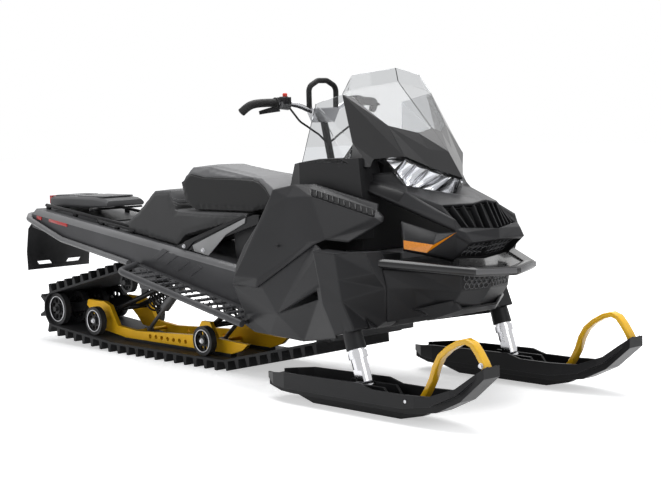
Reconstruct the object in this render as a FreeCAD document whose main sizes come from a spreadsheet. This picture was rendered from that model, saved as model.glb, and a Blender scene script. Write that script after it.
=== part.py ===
import FreeCAD, Part
import math
import os

import Sketcher

# A snowmobile of the utility kind, in millimetres. X points to the nose, Y to the left and Z up.
# The origin is on the floor, half way along the machine and on its middle plane.

LUGS = 60
RUNGS = 13
RAIL_HOLES = 7
FLAP_SLOTS = 3
GRILLE_FINS = 9
SPOKES = 8

SIZES = {
    # Small values that many pieces share
    "seat_gap": 0.3,
    "overrun": 20.0,
    "panel_wall": 8.0,
    # Track: the belt runs round five circles, given by their centres and radii
    "track_width": 406.0,
    "belt_thick": 10.0,
    "lug_height": 38.0,
    "lug_base": 26.0,
    "lug_tip": 14.0,
    "heel_x": -870.0,
    "heel_bend": 200.0,
    "nose_x": -78.0,
    "nose_bend": 150.0,
    "sprocket_x": 495.0,
    "sprocket_z": 252.0,
    "sprocket_r": 75.0,
    "roller_x": -786.0,
    "roller_z": 327.0,
    "roller_r": 48.0,
    "axle_x": -1341.0,
    "axle_z": 164.0,
    "axle_wheel_r": 78.0,
    # Wheels and axles inside the track
    "wheel_width": 30.0,
    "wheel_web": 10.0,
    "wheel_y": 170.0,
    "inner_wheel_y": 55.0,
    "axle_r": 12.0,
    "mid_wheel_x": -1034.0,
    "mid_wheel_z": 131.0,
    "mid_wheel_r": 66.0,
    "front_wheel_x": -217.0,
    "front_wheel_z": 113.0,
    "front_wheel_r": 64.0,
    "roller_y": 150.0,
    # Slide rails and what joins them to the tunnel
    "rail_y": 110.0,
    "rail_thick": 20.0,
    "rail_rear": -1180.0,
    "rail_front": 10.0,
    "rail_top": 217.0,
    "shoe_thick": 12.0,
    "shoe_width": 32.0,
    "rail_hole_r": 10.0,
    "rail_shaft_r": 8.0,
    "rail_shaft_lift": 24.0,
    "front_shaft_x": -300.0,
    "rear_shaft_x": -850.0,
    "tail_rail_thick": 12.0,
    "arm_r": 12.0,
    "pivot_r": 14.0,
    "front_pivot_x": -30.0,
    "front_pivot_z": 316.0,
    "front_foot_x": -270.0,
    "front_foot_z": 164.0,
    "rear_pivot_x": -560.0,
    "rear_pivot_z": 340.0,
    "rear_foot_x": -1005.0,
    "rear_foot_z": 178.0,
    "front_arm_y": 78.0,
    "rear_arm_y": 62.0,
    "upright_thick": 10.0,
    "shock_body_r": 24.0,
    "shock_rod_r": 9.0,
    "shock_eye_wall": 8.0,
    "shock_eye_width": 34.0,
    # Tunnel: a sheet channel, open below, that carries everything behind the nose
    "tunnel_half": 222.0,
    "tunnel_wall": 3.0,
    "tunnel_fold": 26.0,
    "stamp_run": 84.0,
    "stamp_rise": 44.0,
    "stamp_width": 34.0,
    "tunnel_rear": -1470.0,
    "tunnel_front": 650.0,
    "tunnel_low": 200.0,
    "tunnel_top_rear": 648.0,
    "tunnel_top_front": 385.0,
    # Running boards
    "board_tube_r": 14.0,
    "board_out": 390.0,
    "board_rear": -519.0,
    "board_rear_z": 416.0,
    "board_front": 302.0,
    "board_front_z": 256.0,
    "board_strut_x": -600.0,
    "board_ledge": 26.0,
    "board_thick": 8.0,
    "rung_width": 16.0,
    "tube_bend": 60.0,
    # Rear bumper, flap and lamp
    "bumper_r": 12.7,
    "bumper_front": -665.0,
    "bumper_front_z": 430.0,
    "bumper_mid": -1200.0,
    "bumper_mid_z": 512.0,
    "bumper_knee": -1480.0,
    "bumper_knee_z": 600.0,
    "bumper_back": -1587.0,
    "bumper_back_z": 612.0,
    "bumper_half": 160.0,
    "flap_back": -1600.0,
    "flap_low": 335.0,
    "flap_half": 185.0,
    "slot_height": 22.0,
    "lamp_depth": 18.0,
    "lamp_half": 100.0,
    "lamp_height": 40.0,
    # Cargo box on the tunnel
    "cargo_rear": -1480.0,
    "cargo_front": -1000.0,
    "cargo_top": 706.0,
    "cargo_half": 112.0,
    # Seat, its base and its brackets
    "seat_rear": -420.0,
    "seat_front": 235.0,
    "seat_low": 668.0,
    "seat_top": 866.0,
    "seat_half": 150.0,
    "seat_top_half": 104.0,
    "base_rear": -765.0,
    "base_front": 70.0,
    "base_low": 512.0,
    "base_top": 756.0,
    "base_half": 180.0,
    "base_top_half": 135.0,
    "bracket_rear": -380.0,
    "bracket_front": 190.0,
    "bracket_top": 668.0,
    "bracket_depth": 34.0,
    "bracket_thick": 12.0,
    # Engine and belly pan
    "engine_rear": 690.0,
    "engine_front": 990.0,
    "engine_half": 185.0,
    "engine_top": 556.0,
    "belly_front": 1196.0,
    "belly_wall": 8.0,
    "belly_low": 235.0,
    "belly_top": 390.0,
    "belly_half": 376.0,
    # Side panels
    "panel_half": 400.0,
    # Fairing: its facets' corners are shares of this box; shares across count from the middle to the right
    "fairing_rear": 200.0,
    "fairing_front": 1310.0,
    "fairing_half": 460.0,
    "fairing_low": 200.0,
    "fairing_top": 1250.0,
    "lens_thick": 5.0,
    "lamp_set": 36.0,
    "lamp_deep": 60.0,
    # Hood, grille, lamps and reflectors
    "hood_wall": 10.0,
    "grille_set": 14.0,
    "fin_thick": 5.0,
    # Console and windshield
    "console_rear": 300.0,
    "console_front": 1040.0,
    "console_low": 560.0,
    "console_top": 905.0,
    "console_half": 262.0,
    "filler_rear": 600.0,
    "filler_front": 900.0,
    "filler_low": 612.0,
    "filler_top": 692.0,
    "glass_thick": 5.0,
    "frame_thick": 14.0,
    # Front bumper and strut housings
    "bar_thick": 18.0,
    "leg_deep": 80.0,
    "tower_rear": 860.0,
    "tower_front": 980.0,
    "strut_y": 406.5,
    "strut_top_x": 852.0,
    "strut_top_z": 560.0,
    "strut_foot_x": 1006.0,
    "strut_foot_z": 92.0,
    "strut_r": 30.0,
    "housing_low": 262.0,
    "collar_r": 36.0,
    "collar_height": 26.0,
    "bore_gap": 0.6,
    # Steering
    "post_low_x": 450.0,
    "post_low_z": 790.0,
    "post_top_x": 384.0,
    "post_top_z": 1067.0,
    "post_r": 15.0,
    "post_gap": 8.0,
    "bar_r": 11.0,
    "bar_rise_z": 1109.0,
    "bar_mid_z": 1080.0,
    "bar_end_z": 1107.0,
    "bar_half": 362.0,
    "bar_end_x": 300.0,
    "grip_r": 17.0,
    "grip_length": 125.0,
    "riser_half_x": 28.0,
    "riser_half": 86.0,
    "riser_top": 1096.0,
    "cable_r": 4.0,
    "cable_sag": 36.0,
    "strap_r": 11.0,
    "strap_half": 74.0,
    "strap_rise": 109.0,
    # Skis
    "ski_half": 82.0,
    "ski_rear": 524.0,
    "ski_front": 1600.0,
    "ski_tip_z": 222.0,
    "ski_plate": 12.0,
    "ski_lift": 26.0,
    "ski_wall": 58.0,
    "ski_edge": 9.0,
    "core_half": 40.0,
    "keel_height": 30.0,
    "keel_half": 14.0,
    "ear_gap": 5.0,
    "ear_thick": 10.0,
    "ear_reach": 160.0,
    "foot_half": 22.0,
    "bolt_r": 8.0,
    "loop_r": 12.0,
    "loop_rear_x": 1278.0,
    "loop_peak_x": 1501.0,
    "loop_peak_z": 316.0,
}

doc = FreeCAD.newDocument("snowmobile")
sheet = doc.addObject("Spreadsheet::Sheet", "Sizes")
for row, (alias, amount) in enumerate(SIZES.items(), start=1):
    sheet.set(f"A{row}", alias)
    sheet.set(f"B{row}", str(amount))
    sheet.setAlias(f"B{row}", alias)
doc.recompute()


class Size:
    """A size of the sheet, or one worked out from such sizes, with the words that bind it."""

    def __init__(self, value, words):
        self.value = value
        self.words = words

    def __add__(self, other):
        other = sized(other)
        return Size(self.value + other.value, f"({self.words} + {other.words})")

    def __sub__(self, other):
        other = sized(other)
        return Size(self.value - other.value, f"({self.words} - {other.words})")

    def __mul__(self, other):
        other = sized(other)
        return Size(self.value * other.value, f"({self.words} * {other.words})")

    def __truediv__(self, other):
        other = sized(other)
        return Size(self.value / other.value, f"({self.words} / {other.words})")

    def __neg__(self):
        return Size(-self.value, f"(0 - {self.words})")

    def __rmul__(self, other):
        return sized(other) * self


def sized(value):
    """The value as a Size, so that plain shares can stand in a sum."""
    return value if isinstance(value, Size) else Size(float(value), repr(float(value)))


class Sheet:
    """Reads one size of the sheet by its alias."""

    def __getattr__(self, alias):
        return Size(float(sheet.get(alias)), f"Sizes.{alias}")


S = Sheet()
NONE = sized(0)

TURNS = {
    "XY": FreeCAD.Rotation(),
    "XZ": FreeCAD.Rotation(FreeCAD.Vector(1, 0, 0), 90),
    "YZ": FreeCAD.Rotation(FreeCAD.Vector(1, 1, 1), 120),
}
ACROSS = {"XY": "z", "XZ": "y", "YZ": "x"}
DIRECTIONS = {"x": FreeCAD.Vector(1, 0, 0), "y": FreeCAD.Vector(0, 1, 0), "z": FreeCAD.Vector(0, 0, 1)}
NODES = {}


def bind(item, **sizes):
    """Binds properties to sizes; a double underscore stands for the dot of a sub-property."""
    for name, value in sizes.items():
        item.setExpression(name.replace("__", "."), sized(value).words)
    return item


def place(item, x=NONE, y=NONE, z=NONE):
    return bind(item, Placement__Base__x=x, Placement__Base__y=y, Placement__Base__z=z)


def sketch(name, plane, offset, *outlines):
    """A sketch of closed outlines, every corner held by two bound distances."""
    made = doc.addObject("Sketcher::SketchObject", name)
    made.Placement = FreeCAD.Placement(FreeCAD.Vector(), TURNS[plane])
    bind(made, **{"Placement__Base__" + ACROSS[plane]: offset})
    for outline in outlines:
        first = made.GeometryCount
        start = made.ConstraintCount
        corners = [(sized(a), sized(b)) for a, b in outline]
        points = [FreeCAD.Vector(a.value, b.value, 0) for a, b in corners]
        made.addGeometry([Part.LineSegment(p, q) for p, q in zip(points, points[1:] + points[:1])], False)
        rules = []
        for index, (a, b) in enumerate(corners):
            after = (index + 1) % len(corners)
            rules.append(Sketcher.Constraint("Coincident", first + index, 2, first + after, 1))
            rules.append(Sketcher.Constraint("DistanceX", -1, 1, first + index, 1, a.value))
            rules.append(Sketcher.Constraint("DistanceY", -1, 1, first + index, 1, b.value))
        made.addConstraint(rules)
        for index, (a, b) in enumerate(corners):
            made.setExpression(f"Constraints[{start + 3 * index + 1}]", a.words)
            made.setExpression(f"Constraints[{start + 3 * index + 2}]", b.words)
    return made


def prism(name, plane, low, high, *outlines):
    """Closed outlines drawn out from low to high, square to their plane."""
    low, high = sized(low), sized(high)
    made = doc.addObject("Part::Extrusion", name)
    made.Base = sketch(name + "_outline", plane, low, *outlines)
    made.DirMode = "Custom"
    made.Dir = DIRECTIONS[ACROSS[plane]]
    made.Solid = True
    return bind(made, LengthFwd=high - low)


def loft(name, plane, sections):
    """Flat facets between closed outlines, each at its own place along the plane's normal."""
    made = doc.addObject("Part::Loft", name)
    made.Sections = [sketch(f"{name}_{i}", plane, sized(at), outline) for i, (at, outline) in enumerate(sections)]
    made.Solid = True
    made.Ruled = True
    return made


def box(name, x, y, z):
    """A block between pairs of sizes along the three axes."""
    made = doc.addObject("Part::Box", name)
    low, high = zip(*[(sized(a), sized(b)) for a, b in (x, y, z)])
    bind(made, Length=high[0] - low[0], Width=high[1] - low[1], Height=high[2] - low[2])
    return place(made, *low)


def crossbar(name, x, z, radius, half):
    """A round bar along Y, from minus half to plus half."""
    made = doc.addObject("Part::Cylinder", name)
    made.Placement = FreeCAD.Placement(FreeCAD.Vector(), FreeCAD.Rotation(FreeCAD.Vector(1, 0, 0), -90))
    bind(made, Radius=radius, Height=2 * sized(half))
    return place(made, x, -sized(half), z)


def join(name, kind, *items):
    """A boolean or a group of several items."""
    made = doc.addObject(kind, name)
    if kind == "Part::Compound":
        made.Links = list(items)
    else:
        made.Shapes = list(items)
    return made


def fuse(name, *items):
    return join(name, "Part::MultiFuse", *items)


def common(name, *items):
    return join(name, "Part::MultiCommon", *items)


def group(name, *items):
    return join(name, "Part::Compound", *items)


def cut(name, base, tool):
    made = doc.addObject("Part::Cut", name)
    made.Base = base
    made.Tool = tool
    return made


def mirrored(name, source):
    """The same item on the other side of the machine's middle plane."""
    made = doc.addObject("Part::Mirroring", name)
    made.Source = source
    made.Normal = DIRECTIONS["y"]
    return made


def pair(name, source):
    return group(name, source, mirrored(name + "_left", source))


def node(name, item):
    """Names the item that is a sub-part; its label is its file's name."""
    item.Label = name
    NODES[name] = item
    return item


def feature(name, shape):
    made = doc.addObject("Part::Feature", name)
    made.Shape = shape
    made.Placement = FreeCAD.Placement()
    return made


def between(low, high, share):
    low, high = sized(low), sized(high)
    return low + share * (high - low)


def spread(shares, across, up):
    """An outline from shares of a width and a height, each given as its two ends."""
    return [(between(*across, a), between(*up, b)) for a, b in shares]


def both_sides(half):
    """A closed outline from its left half, listed from the top to the bottom."""
    return list(half) + [(-sized(a), b) for a, b in reversed(half)]


def point(x, y, z):
    return FreeCAD.Vector(*(sized(value).value for value in (x, y, z)))


def rod(points, radius, bend):
    """A round bar along straight runs that tangent arcs join."""
    radius, bend = sized(radius).value, sized(bend).value
    edges = []
    start = points[0]
    for before, corner, after in zip(points, points[1:], points[2:]):
        back = (before - corner).normalize()
        ahead = (after - corner).normalize()
        half = back.getAngle(ahead) / 2
        trim = bend / math.tan(half)
        room = min((before - corner).Length, (after - corner).Length) / 2
        trim = min(trim, room)
        middle = (back + ahead).normalize()
        reach = trim / math.cos(half)
        centre = corner + middle * reach
        inner = centre - middle * (trim * math.tan(half))
        first = corner + back * trim
        last = corner + ahead * trim
        if (first - start).Length > radius / 100:
            edges.append(Part.LineSegment(start, first).toShape())
        edges.append(Part.Arc(first, inner, last).toShape())
        start = last
    edges.append(Part.LineSegment(start, points[-1]).toShape())
    path = Part.Wire(edges)
    ring = Part.Wire([Part.Circle(points[0], points[1] - points[0], radius).toShape()])
    return path.makePipeShell([ring], True, True)


def straight(start, end, radius):
    """A round bar from one point to another."""
    run = end - start
    return Part.makeCylinder(sized(radius).value, run.Length, start, run)


# Track

def belt_circles(grow):
    """The five circles that the belt runs round, counter-clockwise from the heel of the rails."""
    floor = S.lug_height + S.belt_thick
    rows = [
        (S.heel_x, floor + S.heel_bend, S.heel_bend),
        (S.nose_x, floor + S.nose_bend, S.nose_bend),
        (S.sprocket_x, S.sprocket_z, S.sprocket_r),
        (S.roller_x, S.roller_z, S.roller_r),
        (S.axle_x, S.axle_z, S.axle_wheel_r),
    ]
    return [(x.value, z.value, r.value + sized(grow).value) for x, z, r in rows]


def belt_runs(grow):
    """The straight runs and bends of the belt, as functions of the way along each."""
    circles = belt_circles(grow)
    normals = []
    for (x, z, r), (far_x, far_z, far_r) in zip(circles, circles[1:] + circles[:1]):
        length = math.hypot(far_x - x, far_z - z)
        lean = math.asin((r - far_r) / length)
        normals.append(math.atan2(far_z - z, far_x - x) - math.pi / 2 + lean)
    runs = []
    for index, (x, z, r) in enumerate(circles):
        start = normals[index - 1]
        turn = (normals[index] - start) % (2 * math.pi)
        far_x, far_z, far_r = circles[(index + 1) % len(circles)]
        end = normals[index]
        foot = (x + r * math.cos(end), z + r * math.sin(end))
        head = (far_x + far_r * math.cos(end), far_z + far_r * math.sin(end))
        runs.append(("bend", (x, z, r, start), r * turn))
        runs.append(("line", (foot, head, end), math.dist(foot, head)))
    return runs


def on_belt(runs, way):
    """The place and the outward angle at a distance along the belt."""
    way = way % sum(length for _, _, length in runs)
    for kind, data, length in runs:
        if way <= length:
            break
        way -= length
    if kind == "bend":
        x, z, r, start = data
        angle = start + way / r
        return x + r * math.cos(angle), z + r * math.sin(angle), angle
    foot, head, angle = data
    share = way / length
    return foot[0] + share * (head[0] - foot[0]), foot[1] + share * (head[1] - foot[1]), angle


def track():
    """One closed loop: a smooth belt inside, a row of lugs outside."""
    inner = belt_runs(NONE)
    outer = belt_runs(S.belt_thick)
    edges = []
    for kind, data, length in inner:
        if kind == "line":
            foot, head, _ = data
            edges.append(Part.LineSegment(*(FreeCAD.Vector(a, 0, b) for a, b in (foot, head))).toShape())
        else:
            x, z, r, start = data
            marks = [start, start + length / r / 2, start + length / r]
            edges.append(Part.Arc(*(FreeCAD.Vector(x + r * math.cos(a), 0, z + r * math.sin(a)) for a in marks)).toShape())
    hole = Part.Wire(Part.__sortEdges__(edges))
    total = sum(length for _, _, length in outer)
    height, base, tip = S.lug_height.value, S.lug_base.value, S.lug_tip.value
    corners = []
    for index in range(LUGS):
        way = total * index / LUGS
        x, z, angle = on_belt(outer, way)
        out = FreeCAD.Vector(math.cos(angle), 0, math.sin(angle))
        along = FreeCAD.Vector(-math.sin(angle), 0, math.cos(angle))
        top = FreeCAD.Vector(x, 0, z) + out * height
        for side, foot in ((-1, way - base / 2), (1, way + base / 2)):
            low_x, low_z, _ = on_belt(outer, foot)
            low = FreeCAD.Vector(low_x, 0, low_z)
            high = top + along * (side * tip / 2)
            corners += [low, high] if side < 0 else [high, low]
    rim = Part.makePolygon(corners + corners[:1])
    face = Part.makeFace([rim, hole], "Part::FaceMakerBullseye")
    face.translate(FreeCAD.Vector(0, -S.track_width.value / 2, 0))
    return feature("track", face.extrude(FreeCAD.Vector(0, S.track_width.value, 0)))


node("track", track())


# Wheels and axles inside the track

def turned(name, x, z, steps):
    """A turned piece about an axis along Y, from steps of (start, end, radius)."""
    outline = []
    for low, high, radius in steps:
        outline += [(x + radius, sized(low)), (x + radius, sized(high))]
    outline = [(x, sized(steps[0][0]))] + outline + [(x, sized(steps[-1][1]))]
    made = doc.addObject("Part::Revolution", name)
    made.Source = sketch(name + "_section", "XY", z, outline)
    made.Axis = DIRECTIONS["y"]
    made.Angle = 360
    made.Solid = True
    return bind(made, Base__x=x, Base__z=z)


def wheel(name, x, middle, z, radius):
    """A wheel as a hub and a rim joined by a thin web."""
    half, web, hub, rim = S.wheel_width / 2, S.wheel_web / 2, radius * 0.30, radius * 0.76
    near, far = middle - half, middle + half
    outline = [(x, near), (x + hub, near), (x + hub, middle - web), (x + rim, middle - web), (x + rim, near),
               (x + radius, near), (x + radius, far), (x + rim, far), (x + rim, middle + web),
               (x + hub, middle + web), (x + hub, far), (x, far)]
    made = doc.addObject("Part::Revolution", name)
    made.Source = sketch(name + "_section", "XY", z, outline)
    made.Axis = DIRECTIONS["y"]
    made.Angle = 360
    made.Solid = True
    return bind(made, Base__x=x, Base__z=z)


def spoke_gaps(name, x, z, radius, half):
    """The holes between the spokes, right across the machine."""
    holes = []
    for index in range(SPOKES):
        turn = FreeCAD.Rotation(FreeCAD.Vector(0, 1, 0), 360 * (index + 0.5) / SPOKES)
        spot = point(x, -sized(half), z) + turn.multVec(FreeCAD.Vector((radius * 0.53).value, 0, 0))
        holes.append(Part.makeCylinder((radius * 0.15).value, (sized(half) * 2).value, spot, FreeCAD.Vector(0, 1, 0)))
    return feature(name, Part.makeCompound(holes))


def axle_set(name, x, z, radius, half, middles, bar):
    """Wheels on one bar that runs across the machine."""
    rod_bar = turned(name + "_bar", x, z, [(-sized(half), sized(half), bar)])
    wheels = [wheel(f"{name}_wheel_{index}", x, middle, z, radius) for index, middle in enumerate(middles)]
    return cut(name, fuse(name + "_row", rod_bar, *wheels), spoke_gaps(name + "_gaps", x, z, radius, half))


def stub_wheel(name, x, z, radius):
    """A wheel on a short bolt outside the right-hand rail."""
    inner = -S.rail_y - S.rail_thick / 2 - S.seat_gap
    stub = turned(name + "_stub", x, z, [(-S.wheel_y, inner, S.axle_r)])
    disc = cut(name + "_disc", wheel(name + "_wheel", x, -S.wheel_y, z, radius),
               spoke_gaps(name + "_gaps", x, z, radius, S.wheel_y + S.wheel_width))
    return fuse(name, disc, stub)


rear_middles = [-S.wheel_y, -S.inner_wheel_y, S.inner_wheel_y, S.wheel_y]
roller_middles = [-S.roller_y, S.roller_y]
wheel_half = S.wheel_y + S.wheel_width
node("idler_wheels", group(
    "idler_wheels",
    axle_set("rear_axle", S.axle_x, S.axle_z, S.axle_wheel_r - S.seat_gap, wheel_half, rear_middles, S.axle_r),
    axle_set("top_rollers", S.roller_x, S.roller_z, S.roller_r - S.seat_gap, S.roller_y + S.wheel_width,
             roller_middles, S.axle_r),
    pair("mid_wheels", stub_wheel("mid_wheel", S.mid_wheel_x, S.mid_wheel_z, S.mid_wheel_r)),
    pair("front_wheels", stub_wheel("front_wheel", S.front_wheel_x, S.front_wheel_z, S.front_wheel_r)),
))


# Drive shaft with its sprockets at the front of the track
shaft_half = S.tunnel_half - S.tunnel_wall - S.seat_gap
node("drive_shaft", axle_set("drive_shaft", S.sprocket_x, S.sprocket_z, S.sprocket_r - S.seat_gap, shaft_half,
                             roller_middles, S.axle_r))


# Slide rails, their shoes and the shafts that tie them together
rail_low = S.lug_height + S.belt_thick + S.shoe_thick + S.seat_gap
rail_height = (rail_low, S.rail_top)
rail_length = (S.rail_rear, S.rail_front)
rail_shares = [
    (0.26, 0.00), (0.91, 0.00), (0.97, 0.14), (1.00, 0.32), (0.94, 0.33), (0.82, 0.37), (0.79, 0.80), (0.74, 0.80),
    (0.70, 0.37), (0.34, 0.24), (0.21, 0.32), (0.16, 0.89), (0.12, 0.99), (0.01, 1.00), (0.00, 0.83), (0.08, 0.41),
    (0.12, 0.13),
]
rail_outline = spread(rail_shares, rail_length, rail_height)
rail_in = S.rail_y - S.rail_thick / 2
rail_out = S.rail_y + S.rail_thick / 2
plain_rail = prism("plain_rail", "XZ", -rail_out, -rail_in, rail_outline)
hole_first_share, hole_last_share, hole_lift_share = 0.42, 0.64, 0.14
holes = []
for index in range(RAIL_HOLES):
    share = hole_first_share + (hole_last_share - hole_first_share) * index / (RAIL_HOLES - 1)
    holes.append(crossbar(f"rail_hole_{index}", between(*rail_length, share), between(*rail_height, hole_lift_share),
                          S.rail_hole_r, rail_out + S.overrun))
rail = cut("rail", plain_rail, fuse("rail_holes", *holes))
shaft_z = rail_low + S.rail_shaft_lift
shafts = [crossbar(f"rail_shaft_{i}", x, shaft_z, S.rail_shaft_r, rail_out) for i, x in
          enumerate((S.front_shaft_x, S.rear_shaft_x))]
node("slide_rails", fuse("slide_rails", rail, mirrored("rail_left", rail), *shafts))

shoe_low = S.lug_height + S.belt_thick + S.seat_gap / 2
shoe_high = shoe_low + S.shoe_thick
shoe_start_share, shoe_end_share = 0.26, 0.91
shoe = box("shoe", (between(*rail_length, shoe_start_share), between(*rail_length, shoe_end_share)),
           (-S.rail_y - S.shoe_width / 2, -S.rail_y + S.shoe_width / 2), (shoe_low, shoe_high))
node("slide_shoes", pair("slide_shoes", shoe))


# Tail rails: plates that swing behind the slide rails and hold the rear axle
tail_shares = [(0.00, 0.10), (0.10, 0.00), (0.40, 0.18), (1.00, 0.30), (1.00, 0.75), (0.72, 1.00), (0.42, 0.72),
               (0.02, 0.58)]
tail_front_share = 0.08
tail_outline = spread(tail_shares, (S.axle_x - S.axle_r * 2, between(*rail_length, tail_front_share)),
                      (S.axle_z - S.axle_r * 2, S.rail_top))
tail_out = rail_in - S.seat_gap
tail_plate = prism("tail_plate", "XZ", -tail_out, -tail_out + S.tail_rail_thick, tail_outline)
tail_bore = crossbar("tail_bore", S.axle_x, S.axle_z, S.axle_r + S.seat_gap, tail_out + S.overrun)
node("tail_rails", pair("tail_rails", cut("tail_rail", tail_plate, tail_bore)))


# Suspension arms and shocks, all inside the loop of the track

def arm(name, pivot, foot, middle, extras):
    """Two bars between a pivot tube in the tunnel and a cross tube between the rails."""
    bars = []
    for side in (-1, 1):
        y = sized(side) * middle
        bars.append(straight(point(pivot[0], y, pivot[1]), point(foot[0], y, foot[1]), S.arm_r))
    top = straight(point(pivot[0], -shaft_half, pivot[1]), point(pivot[0], shaft_half, pivot[1]), S.pivot_r)
    low = straight(point(foot[0], -(rail_in - S.seat_gap), foot[1]), point(foot[0], rail_in - S.seat_gap, foot[1]),
                   S.arm_r)
    return feature(name, top.multiFuse([low] + bars + extras).removeSplitter())


front_pivot = (S.front_pivot_x, S.front_pivot_z)
front_foot = (S.front_foot_x, S.front_foot_z)
rear_pivot = (S.rear_pivot_x, S.rear_pivot_z)
rear_foot = (S.rear_foot_x, S.rear_foot_z)
node("front_arm", arm("front_arm", front_pivot, front_foot, S.front_arm_y, []))

way_share = ((S.roller_x - S.rear_pivot_x) / (S.rear_foot_x - S.rear_pivot_x)).value
upright_low = between(S.rear_pivot_z, S.rear_foot_z, way_share)
uprights = []
for side in (-1, 1):
    block = Part.makeBox((S.axle_r * 4).value, S.upright_thick.value,
                         (S.roller_z - upright_low + S.axle_r * 2).value)
    block.translate(point(S.roller_x - S.axle_r * 2, sized(side) * S.rear_arm_y - S.upright_thick / 2, upright_low))
    uprights.append(block)
plain_arm = arm("plain_rear_arm", rear_pivot, rear_foot, S.rear_arm_y, uprights)
roller_bore = crossbar("roller_bore", S.roller_x, S.roller_z, S.axle_r + S.seat_gap, rail_out)
node("rear_arm", cut("rear_arm", plain_arm, roller_bore))


def shock(name, top, top_r, foot, foot_r):
    """A damper: a wide body, a thin rod and an eye round a cross bar at each end."""
    start, end = point(top[0], NONE, top[1]), point(foot[0], NONE, foot[1])
    run = end - start
    middle = start + run * 0.55
    upper = start + run.normalize() * (top_r + S.shock_eye_wall / 2).value
    lower = end - run * (foot_r + S.shock_eye_wall / 2).value
    body = straight(upper, middle, S.shock_body_r)
    stem = straight(middle, lower, S.shock_rod_r)
    half = S.shock_eye_width / 2
    eyes = []
    bores = []
    for (x, z), inside in ((top, top_r), (foot, foot_r)):
        clear = inside + S.seat_gap
        eyes.append(straight(point(x, -half, z), point(x, half, z), clear + S.shock_eye_wall))
        bores.append(straight(point(x, -half - S.overrun, z), point(x, half + S.overrun, z), clear))
    whole = body.multiFuse([stem] + eyes)
    return feature(name, whole.cut(bores[0]).cut(bores[1]))


node("shocks", group(
    "shocks",
    shock("front_shock", front_pivot, S.pivot_r, (S.front_shaft_x, shaft_z), S.rail_shaft_r),
    shock("rear_shock", rear_pivot, S.pivot_r, (S.rear_shaft_x, shaft_z), S.rail_shaft_r),
))


# Tunnel
tunnel_length = (S.tunnel_rear, S.tunnel_front)
tunnel_height = (S.tunnel_low, S.tunnel_top_rear)
top_front_share = ((S.tunnel_top_front - S.tunnel_low) / (S.tunnel_top_rear - S.tunnel_low)).value
tunnel_shares = [
    (0.00, 0.80), (0.39, 0.48), (0.41, 0.26), (0.45, 0.26), (0.47, 0.41), (0.64, 0.26), (0.66, 0.19), (0.70, 0.19),
    (0.84, 0.10), (1.00, 0.00),
]
tunnel_side = spread(tunnel_shares, tunnel_length, tunnel_height)
tunnel_outline = tunnel_side + [(S.tunnel_front, S.tunnel_top_front), (S.tunnel_rear, S.tunnel_top_rear)]
tunnel_inside = [
    (S.tunnel_rear - S.overrun, S.tunnel_low - S.overrun),
    (S.tunnel_front - S.tunnel_wall, S.tunnel_low - S.overrun),
    (S.tunnel_front - S.tunnel_wall, S.tunnel_top_front - S.tunnel_wall),
    (S.tunnel_rear, S.tunnel_top_rear - S.tunnel_wall),
    (S.tunnel_rear - S.overrun, S.tunnel_top_rear - S.tunnel_wall),
]
inside_half = S.tunnel_half - S.tunnel_wall


def tunnel_form(name, inset):
    """The tunnel's section, with its upper corners folded, drawn in on all sides by an inset."""
    sections = []
    for x, top in ((S.tunnel_rear, S.tunnel_top_rear), (S.tunnel_front, S.tunnel_top_front)):
        half = [(S.tunnel_half - S.tunnel_fold - inset / 2, top - inset),
                (S.tunnel_half - inset, top - S.tunnel_fold - inset / 2), (S.tunnel_half - inset, S.tunnel_low)]
        sections.append((x, both_sides(half)))
    return loft(name, "YZ", sections)


tunnel_block = prism("tunnel_block", "XZ", -S.tunnel_half, S.tunnel_half, tunnel_outline)
tunnel_hollow = common("tunnel_hollow", prism("tunnel_inside", "XZ", -inside_half, inside_half, tunnel_inside),
                       tunnel_form("tunnel_core", S.tunnel_wall))
tunnel_shell = cut("tunnel_shell", common("tunnel_folded", tunnel_block, tunnel_form("tunnel_skin", NONE)), tunnel_hollow)
stamp_shares = [(0.457, 0.585), (0.489, 0.545), (0.527, 0.495), (0.568, 0.453)]
stamps = []
for index, (along, up) in enumerate(stamp_shares):
    low = (between(*tunnel_length, along), between(*tunnel_height, up))
    run, rise, width = S.stamp_run, S.stamp_rise, S.stamp_width
    outline = [low, (low[0] + run, low[1] + rise), (low[0] + run + width, low[1] + rise * 0.8), (low[0] + width, low[1] - rise * 0.2)]
    stamps.append(prism(f"stamp_{index}", "XZ", -S.tunnel_half - S.tunnel_wall, -inside_half - S.tunnel_wall / 2, outline))
tunnel = node("tunnel", fuse("tunnel", tunnel_shell, pair("stamps", group("stamp_row", *stamps))))


def tunnel_top(x):
    """The height of the tunnel's top face at a place along it."""
    x = sized(x)
    slope = (S.tunnel_top_front - S.tunnel_top_rear) / (S.tunnel_front - S.tunnel_rear)
    return S.tunnel_top_rear + (x - S.tunnel_rear) * slope


# Running boards: a tube outside, a ledge on the tunnel and rungs between them

def board_z(x):
    slope = (S.board_front_z - S.board_rear_z) / (S.board_front - S.board_rear)
    return S.board_rear_z + (sized(x) - S.board_rear) * slope


def board_strip(start, end):
    """The side view of a flat piece of the board between two places."""
    return [(start, board_z(start) - S.board_thick), (end, board_z(end) - S.board_thick), (end, board_z(end)),
            (start, board_z(start))]


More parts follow.
